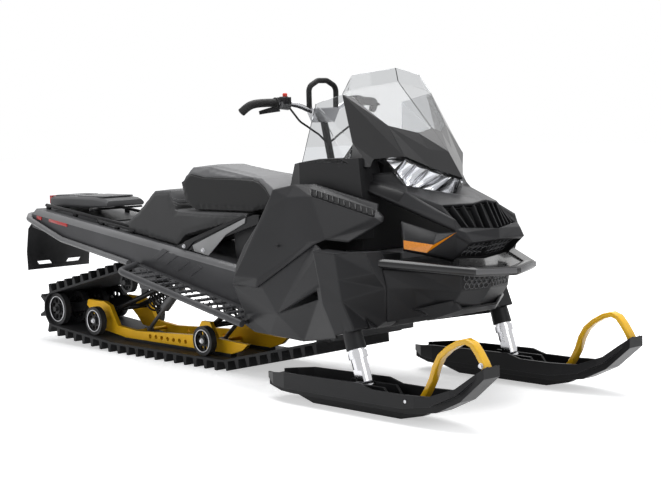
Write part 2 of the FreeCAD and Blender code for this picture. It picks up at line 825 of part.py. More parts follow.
board_in = S.tunnel_half + S.seat_gap
strut_z = board_z(S.board_strut_x)
tube_points = [
    point(S.board_strut_x, -board_in - S.board_ledge / 2, strut_z - S.board_thick / 2),
    point(S.board_rear, -S.board_out, S.board_rear_z),
    point(S.board_front, -S.board_out, S.board_front_z),
]
board_tube = feature("board_tube", rod(tube_points, S.board_tube_r, S.tube_bend))
ledge = prism("board_ledge", "XZ", -board_in - S.board_ledge, -board_in, board_strip(S.board_strut_x, S.board_front))
rung_pitch = (S.board_front - S.board_rear) / RUNGS
rung_strips = []
for index in range(RUNGS):
    rung_start = S.board_rear + rung_pitch * (index + 0.5)
    rung_strips.append(board_strip(rung_start, rung_start + S.rung_width))
rungs = prism("board_rungs", "XZ", -S.board_out, -board_in - S.board_ledge / 2, *rung_strips)
board = fuse("running_board", board_tube, ledge, rungs)
node("running_boards", pair("running_boards", board))


# Rear bumper, snow flap and lamp
bumper_y = S.tunnel_half + S.bumper_r + S.seat_gap * 2
bumper_side = [
    (S.bumper_front, bumper_y, S.bumper_front_z),
    (S.bumper_mid, bumper_y, S.bumper_mid_z),
    (S.bumper_knee, bumper_y, S.bumper_knee_z),
    (S.bumper_back, S.bumper_half, S.bumper_back_z),
]
bumper_points = [point(x, -y, z) for x, y, z in bumper_side] + [point(*row) for row in reversed(bumper_side)]
bumper_bar = feature("bumper_bar", rod(bumper_points, S.bumper_r, S.tube_bend))
node("rear_bumper", cut("rear_bumper", bumper_bar, tunnel))

flap_front = S.tunnel_rear - S.seat_gap
flap_shares = [(1.00, 0.97), (0.24, 0.66), (0.04, 0.00), (0.00, 0.00), (0.20, 0.68), (1.00, 1.00)]
flap_outline = spread(flap_shares, (S.flap_back, flap_front), (S.flap_low, S.tunnel_top_rear))
flap_plate = prism("flap_plate", "XZ", -S.flap_half, S.flap_half, flap_outline)
slot_first_share, slot_step_share, slot_width_share = 0.12, 0.16, 0.62
flap_slots = []
for index in range(FLAP_SLOTS):
    low = between(S.flap_low, S.tunnel_top_rear, slot_first_share + slot_step_share * index)
    reach = S.flap_half * slot_width_share
    flap_slots.append(box(f"flap_slot_{index}", (S.flap_back - S.overrun, flap_front - S.overrun * 3),
                          (-reach, reach), (low, low + S.slot_height)))
node("snow_flap", cut("snow_flap", flap_plate, fuse("flap_slots", *flap_slots)))

cargo_shares = [(0.00, 1.00), (0.88, 1.00), (1.00, 0.70)]
cargo_outline = [
    (S.cargo_rear, tunnel_top(S.cargo_rear) + S.seat_gap),
    (S.cargo_front, tunnel_top(S.cargo_front) + S.seat_gap),
    (S.cargo_front, between(tunnel_top(S.cargo_front), S.cargo_top, cargo_shares[2][1])),
    (between(S.cargo_rear, S.cargo_front, cargo_shares[1][0]), S.cargo_top),
    (S.cargo_rear, S.cargo_top),
]
node("cargo_box", prism("cargo_box", "XZ", -S.cargo_half, S.cargo_half, cargo_outline))
node("tail_lamp", box("tail_lamp", (S.cargo_rear - S.lamp_depth - S.seat_gap, S.cargo_rear - S.seat_gap),
                      (-S.lamp_half, S.lamp_half), (S.cargo_top - S.lamp_height, S.cargo_top)))


# Seat, its base and its brackets

def tapered(name, outline, low, high, half, top_half):
    """A side view drawn out across the machine, narrower at its top than at its foot."""
    long = [min(outline, key=lambda p: p[0].value)[0], max(outline, key=lambda p: p[0].value)[0]]
    side = prism(name + "_side", "XZ", -half, half, outline)
    ends = [(-half, low), (half, low), (top_half, high), (-top_half, high)]
    front = prism(name + "_front", "YZ", long[0] - S.overrun, long[1] + S.overrun, ends)
    return common(name, side, front)


seat_shares = [(0.00, 0.62), (0.11, 0.97), (0.29, 1.00), (0.84, 0.75), (0.97, 0.52), (1.00, 0.16), (0.78, 0.00),
               (0.20, 0.00), (0.09, 0.16)]
seat_outline = spread(seat_shares, (S.seat_rear, S.seat_front), (S.seat_low, S.seat_top))
node("seat", tapered("seat", seat_outline, S.seat_low, S.seat_top, S.seat_half, S.seat_top_half))

base_foot_share, base_heel_share = 0.46, 0.01
base_foot_x = between(S.base_rear, S.base_front, base_foot_share)
base_heel_x = between(S.base_rear, S.base_front, base_heel_share)
base_front_shares = [(0.52, 0.20), (1.00, 0.56)]
base_rear_shares = [(0.35, 1.00), (0.21, 0.98), (0.08, 0.59), (0.00, 0.40)]
base_outline = [(base_heel_x, tunnel_top(base_heel_x) + S.seat_gap), (base_foot_x, tunnel_top(base_foot_x) + S.seat_gap)]
base_outline += spread(base_front_shares, (S.base_rear, S.base_front), (S.base_low, S.base_top))
base_deck = S.seat_low - S.seat_gap
base_outline += [(S.base_front, base_deck), (between(S.base_rear, S.base_front, 0.41), base_deck)]
base_outline += spread(base_rear_shares, (S.base_rear, S.base_front), (S.base_low, S.base_top))
node("seat_base", tapered("seat_base", base_outline, S.base_low, S.base_top, S.base_half, S.base_top_half))

bracket_outline = [
    (S.bracket_rear, tunnel_top(S.bracket_rear) + S.seat_gap),
    (S.bracket_rear + S.bracket_depth * 3, tunnel_top(S.bracket_rear + S.bracket_depth * 3) + S.seat_gap),
    (S.bracket_front, S.bracket_top - S.bracket_depth),
    (S.bracket_front, S.bracket_top),
    (S.bracket_front - S.bracket_depth, S.bracket_top),
]
bracket_in = S.base_half + S.seat_gap
bracket = prism("seat_bracket", "XZ", -bracket_in - S.bracket_thick, -bracket_in, bracket_outline)
node("seat_brackets", pair("seat_brackets", bracket))


# Belly pan
belly_rows_shares = [
    (0.00, 0.72, 0.00, 1.00, 0.49),
    (0.51, 0.66, 0.27, 0.86, 0.60),
    (0.87, 0.46, 0.54, 0.60, 0.85),
    (1.00, 0.27, 0.74, 0.36, 1.00),
]


belly_rear = S.tunnel_front + S.seat_gap


def belly(name, drop, narrow):
    """The pan's form; drop and narrow make the hollow that leaves its wall."""
    sections = []
    for along, foot, low, brim, high in belly_rows_shares:
        half = [
            (S.belly_half * brim - narrow, between(S.belly_low, S.belly_top, high) + drop),
            (S.belly_half * foot - narrow, between(S.belly_low, S.belly_top, low) + drop),
        ]
        sections.append((between(belly_rear, S.belly_front, along), both_sides(half)))
    return loft(name, "YZ", sections)


def belly_floor(x):
    """The height of the pan's floor, inside, at a place along it."""
    share = ((sized(x) - belly_rear) / (S.belly_front - belly_rear)).value
    for (a, _, low, _, _), (b, _, high, _, _) in zip(belly_rows_shares, belly_rows_shares[1:]):
        if a <= share <= b:
            along = (sized(x) - between(belly_rear, S.belly_front, a)) / (between(belly_rear, S.belly_front, b)
                                                                         - between(belly_rear, S.belly_front, a))
            foot = between(S.belly_low, S.belly_top, low)
            return foot + along * (between(S.belly_low, S.belly_top, high) - foot) + S.belly_wall


pan = cut("belly_tray", belly("belly_block", NONE, NONE), belly("belly_hollow", S.belly_wall, S.belly_wall))


# Engine, as one plain block on the pan's floor
node("engine", box("engine", (S.engine_rear, S.engine_front), (-S.engine_half, S.engine_half),
                   (belly_floor(S.engine_front) + S.seat_gap, S.engine_top)))


# Faceted plates: corners as shares of the fairing's box, and faces as rows of corner numbers

def corner(along, across, up):
    """A corner of the fairing, on the right-hand side or on the middle plane."""
    return point(between(S.fairing_rear, S.fairing_front, along), -S.fairing_half * across,
                 between(S.fairing_low, S.fairing_top, up))


def facets(shares, faces, twin):
    """The corners and faces, with the left-hand side's added for a twin."""
    spots = [corner(*row) for row in shares]
    rows = [list(face) for face in faces]
    if twin:
        other = {}
        for index, spot in enumerate(list(spots)):
            other[index] = index if spot.y == 0 else len(spots)
            if spot.y != 0:
                spots.append(FreeCAD.Vector(spot.x, -spot.y, spot.z))
        rows += [[other[index] for index in face] for face in rows[:]]
    return spots, rows


def closed(spots, triangles):
    """A solid from triangles that meet edge to edge."""
    sides = [Part.Face(Part.makePolygon([spots[a], spots[b], spots[c], spots[a]])) for a, b, c in triangles]
    shell = Part.makeShell(sides)
    shell.sewShape()
    body = Part.makeSolid(shell)
    return body if body.Orientation == "Forward" else Part.makeSolid(shell.reversed())


def moved(spots, step, twin):
    """The corners, each a step further in: the left-hand side's step is turned round."""
    step = point(*step)
    sides = [0 if twin and spot.y == 0 else (-1 if spot.y > 0 else 1) for spot in spots]
    return [spot + FreeCAD.Vector(step.x, step.y * side, step.z) for spot, side in zip(spots, sides)]


def plate(name, shares, faces, push, twin=False, start=(NONE, NONE, NONE)):
    """A plate of facets, set in by a start: the same faces pushed inwards by a step close it."""
    spots, rows = facets(shares, faces, twin)
    spots = moved(spots, start, twin)
    pushed = moved(spots, push, twin)
    count = len(spots)
    triangles = []
    edges = {}
    for row in rows:
        for second, third in zip(row[1:], row[2:]):
            triangles += [(row[0], second, third), (row[0] + count, second + count, third + count)]
        for pair_of in zip(row, row[1:] + row[:1]):
            edges.setdefault(frozenset(pair_of), []).append(pair_of)
    for uses in edges.values():
        if len(uses) == 1:
            a, b = uses[0]
            triangles += [(a, b, b + count), (a, b + count, a + count)]
    return feature(name, closed(spots + pushed, triangles))


def largest(name, item):
    """The largest of the pieces that a cut leaves."""
    doc.recompute()
    return feature(name, max(item.Shape.Solids, key=lambda piece: piece.Volume))


# Side panels

upper_shares = [
    (0.216, 0.761, 0.523), (0.232, 0.750, 0.558), (0.319, 0.691, 0.577), (0.398, 0.652, 0.580),
    (0.403, 0.700, 0.565), (0.695, 0.643, 0.494), (0.684, 0.609, 0.514), (0.725, 0.652, 0.472),
    (0.730, 0.678, 0.455), (0.635, 0.826, 0.386), (0.522, 0.811, 0.389), (0.473, 0.846, 0.370),
    (0.169, 0.837, 0.195), (0.026, 0.809, 0.198), (0.051, 0.800, 0.280), (0.086, 0.787, 0.344),
    (0.156, 0.765, 0.432), (0.217, 0.780, 0.487), (0.313, 0.767, 0.532), (0.435, 0.765, 0.538),
    (0.707, 0.709, 0.470), (0.444, 0.822, 0.380), (0.188, 0.861, 0.232), (0.063, 0.859, 0.230),
]
upper_faces = [
    (0, 1, 18, 17), (1, 2, 18), (2, 3, 4, 19, 18), (3, 6, 5, 4), (4, 5, 20, 19), (5, 7, 20), (7, 8, 20),
    (8, 9, 10, 20), (19, 20, 10, 21), (17, 18, 19, 21, 22), (17, 22, 23), (21, 10, 11), (21, 11, 12, 22),
    (22, 12, 13, 23), (23, 13, 14, 15), (23, 15, 16), (23, 16, 0, 17),
]
upper = plate("upper_panel", upper_shares, upper_faces, (NONE, S.panel_wall, NONE))
node("upper_panels", pair("upper_panels", upper))


leg_shares = [
    (0.529, 0.974, 0.356), (0.554, 0.978, 0.256), (0.570, 0.978, 0.173), (0.618, 0.957, 0.065),
    (0.636, 0.983, 0.353), (0.653, 0.983, 0.263), (0.665, 0.978, 0.191), (0.711, 0.957, 0.092),
    (0.755, 0.924, 0.360), (0.759, 0.837, 0.286), (0.760, 0.728, 0.230), (0.732, 0.652, 0.112),
    (0.707, 0.717, 0.087),
]
leg_faces = [
    (0, 1, 5, 4), (1, 2, 6, 5), (2, 3, 7, 6), (4, 5, 9, 8), (5, 6, 10, 9), (6, 7, 12, 11, 10),
]
leg = plate("leg", leg_shares, leg_faces, (NONE, S.leg_deep, NONE))

lower_shares = [
    (0.010, 0.772, 0.189), (0.061, 0.750, 0.085), (0.038, 0.739, 0.050), (0.102, 0.728, 0.018),
    (0.191, 0.739, 0.016), (0.377, 0.761, 0.010), (0.616, 0.935, 0.053), (0.573, 0.924, 0.173),
    (0.556, 0.917, 0.256), (0.531, 0.891, 0.356), (0.278, 0.837, 0.106), (0.500, 0.874, 0.210),
    (0.506, 0.874, 0.179), (0.090, 0.791, 0.198), (0.180, 0.820, 0.214), (0.468, 0.826, 0.375),
]
lower_faces = [
    (0, 1, 10, 14, 13), (1, 2, 3, 4, 10), (4, 5, 10), (5, 6, 12, 10), (6, 7, 12), (7, 8, 11, 12),
    (10, 11, 8, 9, 15, 14),
]
lower_plate = plate("lower_plate", lower_shares, lower_faces, (NONE, S.panel_wall, NONE))
lower = cut("lower_panel", lower_plate, group("lower_neighbours", upper, leg, board))
lowers = node("lower_panels", pair("lower_panels", lower))


# Hood, blades and nose in one faceted plate
hood_shares = [
    (0.483, 0.543, 0.600), (0.721, 0.452, 0.511), (0.940, 0.374, 0.429), (0.514, 0.461, 0.614),
    (0.730, 0.387, 0.551), (0.933, 0.359, 0.462), (0.946, 0.326, 0.433), (0.864, 0.326, 0.507),
    (0.931, 0.130, 0.510), (0.937, 0.000, 0.519), (0.667, 0.391, 0.619), (0.719, 0.359, 0.572),
    (0.741, 0.239, 0.561), (0.799, 0.000, 0.538), (0.988, 0.000, 0.424), (0.966, 0.326, 0.417),
    (0.991, 0.000, 0.389), (0.987, 0.313, 0.387), (0.912, 0.326, 0.324), (0.861, 0.504, 0.350),
    (0.795, 0.587, 0.363), (0.793, 0.587, 0.392), (0.887, 0.489, 0.378), (0.942, 0.374, 0.419),
    (0.749, 0.500, 0.453), (0.877, 0.413, 0.415),
]
hood_faces = [
    (0, 1, 4, 3), (1, 2, 5, 4), (3, 4, 11, 10), (4, 7, 12, 11), (4, 5, 6, 7), (12, 7, 8, 9, 13),
    (6, 15, 14), (15, 17, 16, 14), (2, 23, 15, 6, 5), (23, 22, 19, 18, 17, 15), (22, 21, 20, 19),
    (21, 22, 25, 24), (22, 23, 25),
]
hood = node("hood", plate("hood", hood_shares, hood_faces, (-S.hood_wall, S.hood_wall / 3, -S.hood_wall), True))


# Side reflectors, on the hood's cheeks
signal_shares = [
    (0.943, 0.374, 0.419), (0.861, 0.504, 0.350), (0.795, 0.587, 0.363), (0.793, 0.587, 0.392),
    (0.887, 0.489, 0.378),
]
signal_faces = [
    (4, 3, 2, 1), (4, 1, 0),
]
signal = plate("signal", signal_shares, signal_faces, (NONE, S.lens_thick / 2, NONE), False,
               (NONE, -S.lens_thick / 2, NONE))
node("side_reflectors", cut("side_reflectors", pair("signals", signal), hood))


# Upper grille: a panel set in below the hood's faces, with fins along the machine
grille_shares = [
    (0.864, 0.326, 0.507), (0.931, 0.130, 0.510), (0.937, 0.000, 0.519), (0.988, 0.000, 0.424),
    (0.946, 0.326, 0.433),
]
grille_faces = [
    (0, 4, 3, 2, 1),
]
grille_plate = plate("grille_plate", grille_shares, grille_faces, (-S.hood_wall, NONE, -S.hood_wall), True,
                     (-S.grille_set, NONE, -S.grille_set))
grille_spots = [corner(*row) for row in grille_shares]
fin_drop = S.grille_set + S.hood_wall / 2


def across_edge(y, spots):
    """The place on an edge, given from the middle outwards, at a distance from the middle plane."""
    for inner, outer in zip(spots, spots[1:]):
        if -inner.y <= y <= -outer.y:
            return inner + (outer - inner) * ((y + inner.y) / (inner.y - outer.y))


fins = []
for index in range(GRILLE_FINS):
    y = between(grille_spots[0].y, -grille_spots[0].y, (index + 0.9) / (GRILLE_FINS + 0.8))
    rear = across_edge(abs(y.value), grille_spots[2::-1])
    fore = across_edge(abs(y.value), grille_spots[3:])
    inset = (fore - rear) * 0.05
    fin_top = [(sized(spot.x), sized(spot.z)) for spot in (rear + inset, fore - inset)]
    fin_low = [(x - fin_drop, z - fin_drop) for x, z in reversed(fin_top)]
    fins.append(prism(f"fin_{index}", "XZ", y - S.fin_thick / 2, y + S.fin_thick / 2, fin_top + fin_low))
grille_form = fuse("grille_form", grille_plate, *fins)
grille = largest("upper_grille", cut("grille_trim", grille_form, hood))


# Lower grille: the dark hollow under the hood's lip
intake_shares = [
    (0.989, 0.000, 0.387), (0.986, 0.311, 0.385), (0.911, 0.324, 0.326), (0.928, 0.000, 0.316),
    (0.957, 0.000, 0.381), (0.953, 0.287, 0.379), (0.894, 0.300, 0.329), (0.906, 0.000, 0.320),
]
intake_faces = [
    (0, 1, 5, 4), (1, 2, 6, 5), (2, 3, 7, 6), (4, 5, 6, 7),
]
intake_plate = plate("intake_plate", intake_shares, intake_faces, (-S.panel_wall, NONE, NONE), True)
intake_neighbours = group("intake_neighbours", hood, grille)
lower_grille = largest("lower_grille", cut("intake_trim", intake_plate, intake_neighbours))
node("grilles", group("grilles", grille, lower_grille))


# Strut housings: the fixed legs that hold the sliding tubes of the skis

def along_strut(z):
    """The place of the strut's centre line at a height."""
    return between(S.strut_top_x, S.strut_foot_x, ((S.strut_top_z - sized(z)) / (S.strut_top_z - S.strut_foot_z)).value)


strut_room = feature("strut_room", straight(point(along_strut(S.housing_low - S.overrun), -S.strut_y,
                                                  S.housing_low - S.overrun),
                                            point(along_strut(S.strut_top_z), -S.strut_y, S.strut_top_z),
                                            S.strut_r + S.bore_gap))
tower = box("tower", (S.tower_rear, S.tower_front), (-S.strut_y, -S.engine_half - S.seat_gap),
            (S.engine_top - S.overrun * 3, S.engine_top))
housing = cut("strut_housing", fuse("leg_and_tower", leg, tower), strut_room)
housings = node("strut_housings", pair("strut_housings", housing))


# Front bumper: a bar of upright section round the nose, and the deck behind it
bar_shares = [
    (0.698, 0.872, 0.336), (0.959, 0.280, 0.297), (0.977, 0.000, 0.295), (0.698, 0.872, 0.307),
    (0.959, 0.280, 0.267), (0.977, 0.000, 0.265),
]
bar_faces = [
    (0, 1, 4, 3), (1, 2, 5, 4),
]
bar_plate = plate("bar_plate", bar_shares, bar_faces, (-S.bar_thick, S.bar_thick, NONE), True)
deck_plan_shares = [(0.76, 0.80), (0.948, 0.261), (0.968, 0.00), (0.948, -0.261), (0.76, -0.80)]
deck_side_shares = [(0.72, 0.330), (0.99, 0.283)]
deck_plan = [(between(S.fairing_rear, S.fairing_front, a), -S.fairing_half * b) for a, b in deck_plan_shares]
deck_side = spread(deck_side_shares, (S.fairing_rear, S.fairing_front), (S.fairing_low, S.fairing_top))
deck_band = prism("deck_band", "XZ", -S.fairing_half, S.fairing_half,
                  deck_side + [(x, z - S.lens_thick) for x, z in reversed(deck_side)])
deck_plate = common("deck_plate", deck_band, prism("deck_plan", "XY", S.fairing_low, S.fairing_top, deck_plan))
bumper_form = fuse("bumper_form", bar_plate, deck_plate)
bumper = node("front_bumper", largest("front_bumper", cut("bumper_trim", bumper_form,
                                                          group("bumper_neighbours", hood, housings))))


# Chin: the shell under the bumper, ahead of the struts
chin_shares = [
    (0.748, 0.787, 0.299), (0.822, 0.557, 0.288), (0.930, 0.296, 0.270), (0.957, 0.000, 0.266),
    (0.760, 0.717, 0.230), (0.822, 0.570, 0.229), (0.924, 0.283, 0.211), (0.948, 0.000, 0.214),
    (0.735, 0.652, 0.107), (0.811, 0.467, 0.124), (0.874, 0.283, 0.145), (0.901, 0.000, 0.154),
]
chin_faces = [
    (0, 1, 5, 4), (1, 2, 6, 5), (2, 3, 7, 6), (4, 5, 9, 8), (5, 6, 10, 9), (6, 7, 11, 10),
]
chin_plate = plate("chin_plate", chin_shares, chin_faces, (-S.panel_wall, S.panel_wall, NONE), True)
chin_trim = cut("chin_trim", chin_plate, group("chin_neighbours", bumper, housings))
chin = node("chin_panel", largest("chin_panel", chin_trim))
node("belly_pan", cut("belly_pan", pan, group("belly_neighbours", lowers, housings, chin)))


# Spindles: bright tubes with a foot that carries the ski's bolt
def spindle():
    run = point(S.strut_foot_x, NONE, S.strut_foot_z) - point(S.strut_top_x, NONE, S.strut_top_z)
    run.normalize()
    low = point(S.strut_foot_x, -S.strut_y, S.strut_foot_z)
    high = point(S.strut_top_x, -S.strut_y, S.strut_top_z) + run * (S.overrun * 2).value
    tube = straight(high, low - run * (S.bolt_r * 2).value, S.strut_r)
    collar_low = low - run * (S.collar_height * 4).value
    collar = straight(collar_low, collar_low - run * S.collar_height.value, S.collar_r)
    foot = Part.makeCylinder(S.foot_half.value, (S.foot_half * 2).value,
                             point(S.strut_foot_x, -S.strut_y - S.foot_half, S.strut_foot_z), FreeCAD.Vector(0, 1, 0))
    bore = straight(point(S.strut_foot_x, -S.strut_y - S.foot_half * 2, S.strut_foot_z),
                    point(S.strut_foot_x, -S.strut_y + S.foot_half * 2, S.strut_foot_z), S.bolt_r + S.bore_gap / 10)
    slab = Part.makeBox((S.strut_r * 4).value, (S.strut_r * 4).value, (S.strut_r * 4).value)
    trimmed = tube
    for side, y in ((-1, -S.strut_y - S.foot_half), (1, -S.strut_y + S.foot_half)):
        block = slab.copy()
        block.translate(point(S.strut_foot_x - S.strut_r * 2, y - (S.strut_r * 4 if side < 0 else NONE),
                              S.strut_foot_z - S.strut_r * 2))
        trimmed = trimmed.cut(block)
    return feature("spindle_right", trimmed.multiFuse([foot, collar]).cut(bore))


right_spindle = node("spindle_right", spindle())
node("spindle_left", mirrored("spindle_left", right_spindle))


# Skis
ski_length = (S.ski_rear, S.ski_front)
ski_rise = (S.keel_height, S.ski_tip_z - S.ski_lift)
ski_low_shares = [
    (0.00, 0.13), (0.06, 0.02), (0.12, 0.00), (0.49, 0.00), (0.55, 0.00),
    (0.68, 0.00), (0.80, 0.12), (0.90, 0.42), (1.00, 0.96),
]
ski_low = spread(ski_low_shares, ski_length, ski_rise)
ski_core_top = [(x, z + S.ski_lift + S.ski_plate) for x, z in reversed(ski_low)]
ski_core = prism("ski_core", "XZ", -S.strut_y - S.core_half, -S.strut_y + S.core_half, ski_low + ski_core_top)
wall_shares = [0.20, 0.62, 0.80, 0.92, 0.64, 0.64, 0.40, 0.20, 0.04]
ski_shelf = [(x, z + S.ski_lift) for x, z in ski_low]
ski_wall_top = [(x, z + S.ski_plate + S.ski_wall * a) for (x, z), a in zip(ski_shelf, wall_shares)]
ski_side = prism("ski_side", "XZ", -S.strut_y - S.ski_half, -S.strut_y + S.ski_half, ski_shelf + ski_wall_top[::-1])
ski_plan_shares = [(0.00, 0.55), (0.05, 0.85), (0.12, 1.00), (0.74, 1.00), (0.88, 0.84), (0.96, 0.55), (1.00, 0.30)]


def ski_plan(name, inset):
    """The ski's plan, drawn in on both sides by an inset."""
    edge = [(between(*ski_length, a), S.ski_half * b - inset) for a, b in ski_plan_shares]
    outline = [(x, y - S.strut_y) for x, y in edge] + [(x, -y - S.strut_y) for x, y in reversed(edge)]
    return prism(name, "XY", NONE, S.ski_tip_z + S.overrun * 4, outline)


ski_room_low = [(x, z + S.ski_plate) for x, z in ski_shelf]
ski_room_top = [(x, z + S.ski_wall * 2) for x, z in reversed(ski_room_low)]
ski_room_side = prism("ski_room_side", "XZ", -S.strut_y - S.ski_half, -S.strut_y + S.ski_half,
                      ski_room_low + ski_room_top)
ski_room = common("ski_room", ski_room_side, ski_plan("ski_room_plan", S.ski_edge))
trough_low = [(x, z + S.ski_plate) for x, z in ski_low[1:-1]]
trough_top = [(x, z + S.ski_lift * 2) for x, z in reversed(trough_low)]
trough = prism("ski_trough", "XZ", -S.strut_y - S.foot_half - S.ear_gap, -S.strut_y + S.foot_half + S.ear_gap,
               trough_low + trough_top)
ski_shell = cut("ski_shell", common("ski_tub", ski_side, ski_plan("ski_plan", NONE)), ski_room)
ski_blank = cut("ski_blank", fuse("ski_body", ski_shell, ski_core), trough)
keel_shares = [(0.10, 1.00), (0.20, 0.00), (0.62, 0.00), (0.72, 0.80), (0.74, 1.20), (0.10, 1.20)]
keel_outline = spread(keel_shares, ski_length, (NONE, S.keel_height))
keel = prism("keel", "XZ", -S.strut_y - S.keel_half, -S.strut_y + S.keel_half, keel_outline)
ear_shares = [(-1.00, 0.10), (-0.62, 1.00), (0.78, 1.00), (1.16, 0.10)]
ear_top = S.strut_foot_z + S.bolt_r * 2
ear_outline = [(S.strut_foot_x + S.ear_reach * a, between(S.keel_height, ear_top, b)) for a, b in ear_shares]
ears = []
ear_in = S.foot_half + S.ear_gap
for side, y in (("out", -S.strut_y - ear_in - S.ear_thick), ("in", -S.strut_y + ear_in)):
    ears.append(prism("ear_" + side, "XZ", y, y + S.ear_thick, ear_outline))
bolt = crossbar("ski_bolt", S.strut_foot_x, S.strut_foot_z, S.bolt_r, ear_in + S.ear_thick)
bolt.setExpression("Placement.Base.y", (-S.strut_y - ear_in - S.ear_thick).words)
ski = node("ski_right", fuse("ski_right", ski_blank, keel, bolt, *ears))
node("ski_left", mirrored("ski_left", ski))

loop_front_share = 0.96


def ski_surface(share):
    """The height of the ski's upper face at a share of its length."""
    for (a, low), (b, high) in zip(ski_low_shares, ski_low_shares[1:]):
        if a <= share <= b:
            return between(*ski_rise, low + (high - low) * (share - a) / (b - a)) + S.ski_lift + S.ski_plate


loop_rear_share = ((S.loop_rear_x - S.ski_rear) / (S.ski_front - S.ski_rear)).value
loop_points = [
    point(S.loop_rear_x, -S.strut_y, ski_surface(loop_rear_share) - S.ski_plate / 2),
    point(S.loop_peak_x - S.loop_r * 3, -S.strut_y, S.loop_peak_z),
    point(S.loop_peak_x + S.loop_r * 3, -S.strut_y, S.loop_peak_z - S.loop_r),
    point(between(*ski_length, loop_front_share), -S.strut_y, ski_surface(loop_front_share) - S.ski_plate / 2),
]
loop_bar = feature("loop_bar", rod(loop_points, S.loop_r, S.tube_bend / 3))
loop = node("ski_loop_right", cut("ski_loop_right", loop_bar, ski))
node("ski_loop_left", mirrored("ski_loop_left", loop))


# Windshield: front panes with a lip, side panes, and the shroud round them
glass_shares = [
    (0.539, 0.000, 0.990), (0.493, 0.396, 0.967), (0.550, 0.000, 0.940), (0.497, 0.457, 0.913),
    (0.499, 0.528, 0.897), (0.634, 0.341, 0.783), (0.692, 0.141, 0.755), (0.703, 0.000, 0.770),
    (0.520, 0.470, 0.886),
]
glass_faces = [
    (0, 1, 3, 2), (1, 4, 3), (2, 3, 8, 5, 6, 7), (3, 4, 8),
]
side_pane_shares = [
    (0.359, 0.517, 0.867), (0.499, 0.528, 0.897), (0.545, 0.533, 0.722), (0.318, 0.598, 0.657),
    (0.532, 0.570, 0.652),
]
side_pane_faces = [
    (0, 1, 2), (0, 2, 4), (0, 4, 3),
]
front_glass = plate("front_glass", glass_shares, glass_faces, (-S.glass_thick, NONE, -S.glass_thick / 3), True)
side_glass = plate("side_glass", side_pane_shares, side_pane_faces, (NONE, S.glass_thick, NONE))
glass = node("windshield", fuse("windshield", front_glass, pair("side_panes", side_glass)))
shroud_shares = [
    (0.499, 0.528, 0.897), (0.520, 0.470, 0.886), (0.634, 0.341, 0.783), (0.692, 0.141, 0.755),
    (0.703, 0.000, 0.770), (0.837, 0.000, 0.593), (0.765, 0.196, 0.635), (0.712, 0.348, 0.675),
    (0.699, 0.359, 0.683), (0.545, 0.533, 0.722), (0.613, 0.467, 0.667), (0.739, 0.135, 0.695),
    (0.775, 0.000, 0.686), (0.616, 0.513, 0.640), (0.486, 0.570, 0.640),
]
shroud_faces = [
    (0, 1, 2, 8), (2, 3, 11, 6, 7, 8), (3, 4, 12, 11), (11, 12, 5, 6), (0, 8, 9), (9, 8, 7, 10),
    (9, 10, 13), (9, 13, 14),
]
shroud = plate("shroud", shroud_shares, shroud_faces, (-S.frame_thick, S.frame_thick, -S.frame_thick / 2), True)
frame = node("windshield_frame", cut("windshield_frame", shroud, glass))


# Headlamps: a thin lens under the shroud, and the lamp's body behind it
lens_shares = [
    (0.614, 0.370, 0.670), (0.680, 0.391, 0.622), (0.719, 0.359, 0.572), (0.741, 0.239, 0.561),
    (0.799, 0.000, 0.529), (0.709, 0.326, 0.666), (0.741, 0.217, 0.637), (0.798, 0.054, 0.603),
    (0.826, 0.000, 0.587),
]
lens_faces = [
    (0, 1, 5), (1, 2, 3, 6, 5), (3, 4, 8, 7, 6),
]
lens_plate = plate("lens_plate", lens_shares, lens_faces, (-S.lens_thick, NONE, -S.lens_thick / 2), True)
lens = node("lamp_lens", largest("lamp_lens", cut("lens_trim", lens_plate, group("lens_neighbours", glass, frame, hood))))
lamp_body = plate("lamp_body", lens_shares, lens_faces, (-S.lamp_deep, S.lamp_set / 2, -S.lamp_set / 2), True,
                  (-S.lamp_set, S.lamp_set / 4, -S.lamp_set / 4))
lamp_trim = cut("lamp_trim", lamp_body, group("lamp_neighbours", glass, frame, hood, lens))
lamps = node("headlamps", largest("headlamps", lamp_trim))


# Console below the bar, with room for the steering post
console_shares = [(0.00, 0.41), (0.16, 0.70), (0.23, 0.93), (0.46, 0.99), (0.74, 1.00), (0.76, 0.60), (0.76, 0.00)]
console_heel = between(S.console_rear, S.console_front, 0.04)
console_toe = S.engine_rear - S.seat_gap
console_outline = spread(console_shares, (S.console_rear, S.console_front), (S.console_low, S.console_top))
console_outline += [(console_toe, S.console_low), (S.tunnel_front, tunnel_top(S.tunnel_front) + S.seat_gap),
                    (console_heel, tunnel_top(console_heel) + S.seat_gap)]
console_side = prism("console_side", "XZ", -S.console_half, S.console_half, console_outline)
console_plan = [(S.console_rear, S.console_half * 0.62), (between(S.console_rear, S.console_front, 0.30), S.console_half),
                (S.console_front, S.console_half)]
console_plan = console_plan + [(x, -y) for x, y in reversed(console_plan)]
console_top_view = prism("console_plan", "XY", NONE, S.console_top, console_plan)
post_low = point(S.post_low_x, NONE, S.post_low_z)
post_top = point(S.post_top_x, NONE, S.post_top_z)
post_run = (post_top - post_low).normalize()
post_seat = straight(post_low, post_top, S.post_r + S.seat_gap)
post_mouth = straight(post_low + post_run * (S.post_r * 2).value, post_top, S.post_r + S.post_gap)
post_room = feature("post_room", post_seat.fuse(post_mouth))
console_tools = group("console_tools", post_room, hood, glass, frame, lens, lamps)
filler_box = box("filler_box", (S.filler_rear, S.filler_front), (-S.fairing_half, -S.console_half + S.overrun),
                 (S.filler_low, S.filler_top))
doc.recompute()
filler_pieces = filler_box.Shape.cut(upper.Shape).Solids
filler = feature("filler", min(filler_pieces, key=lambda piece: abs(piece.CenterOfMass.y)))
console_core = cut("console_core", common("console_form", console_side, console_top_view), console_tools)
node("console", fuse("console", console_core, pair("fillers", filler)))


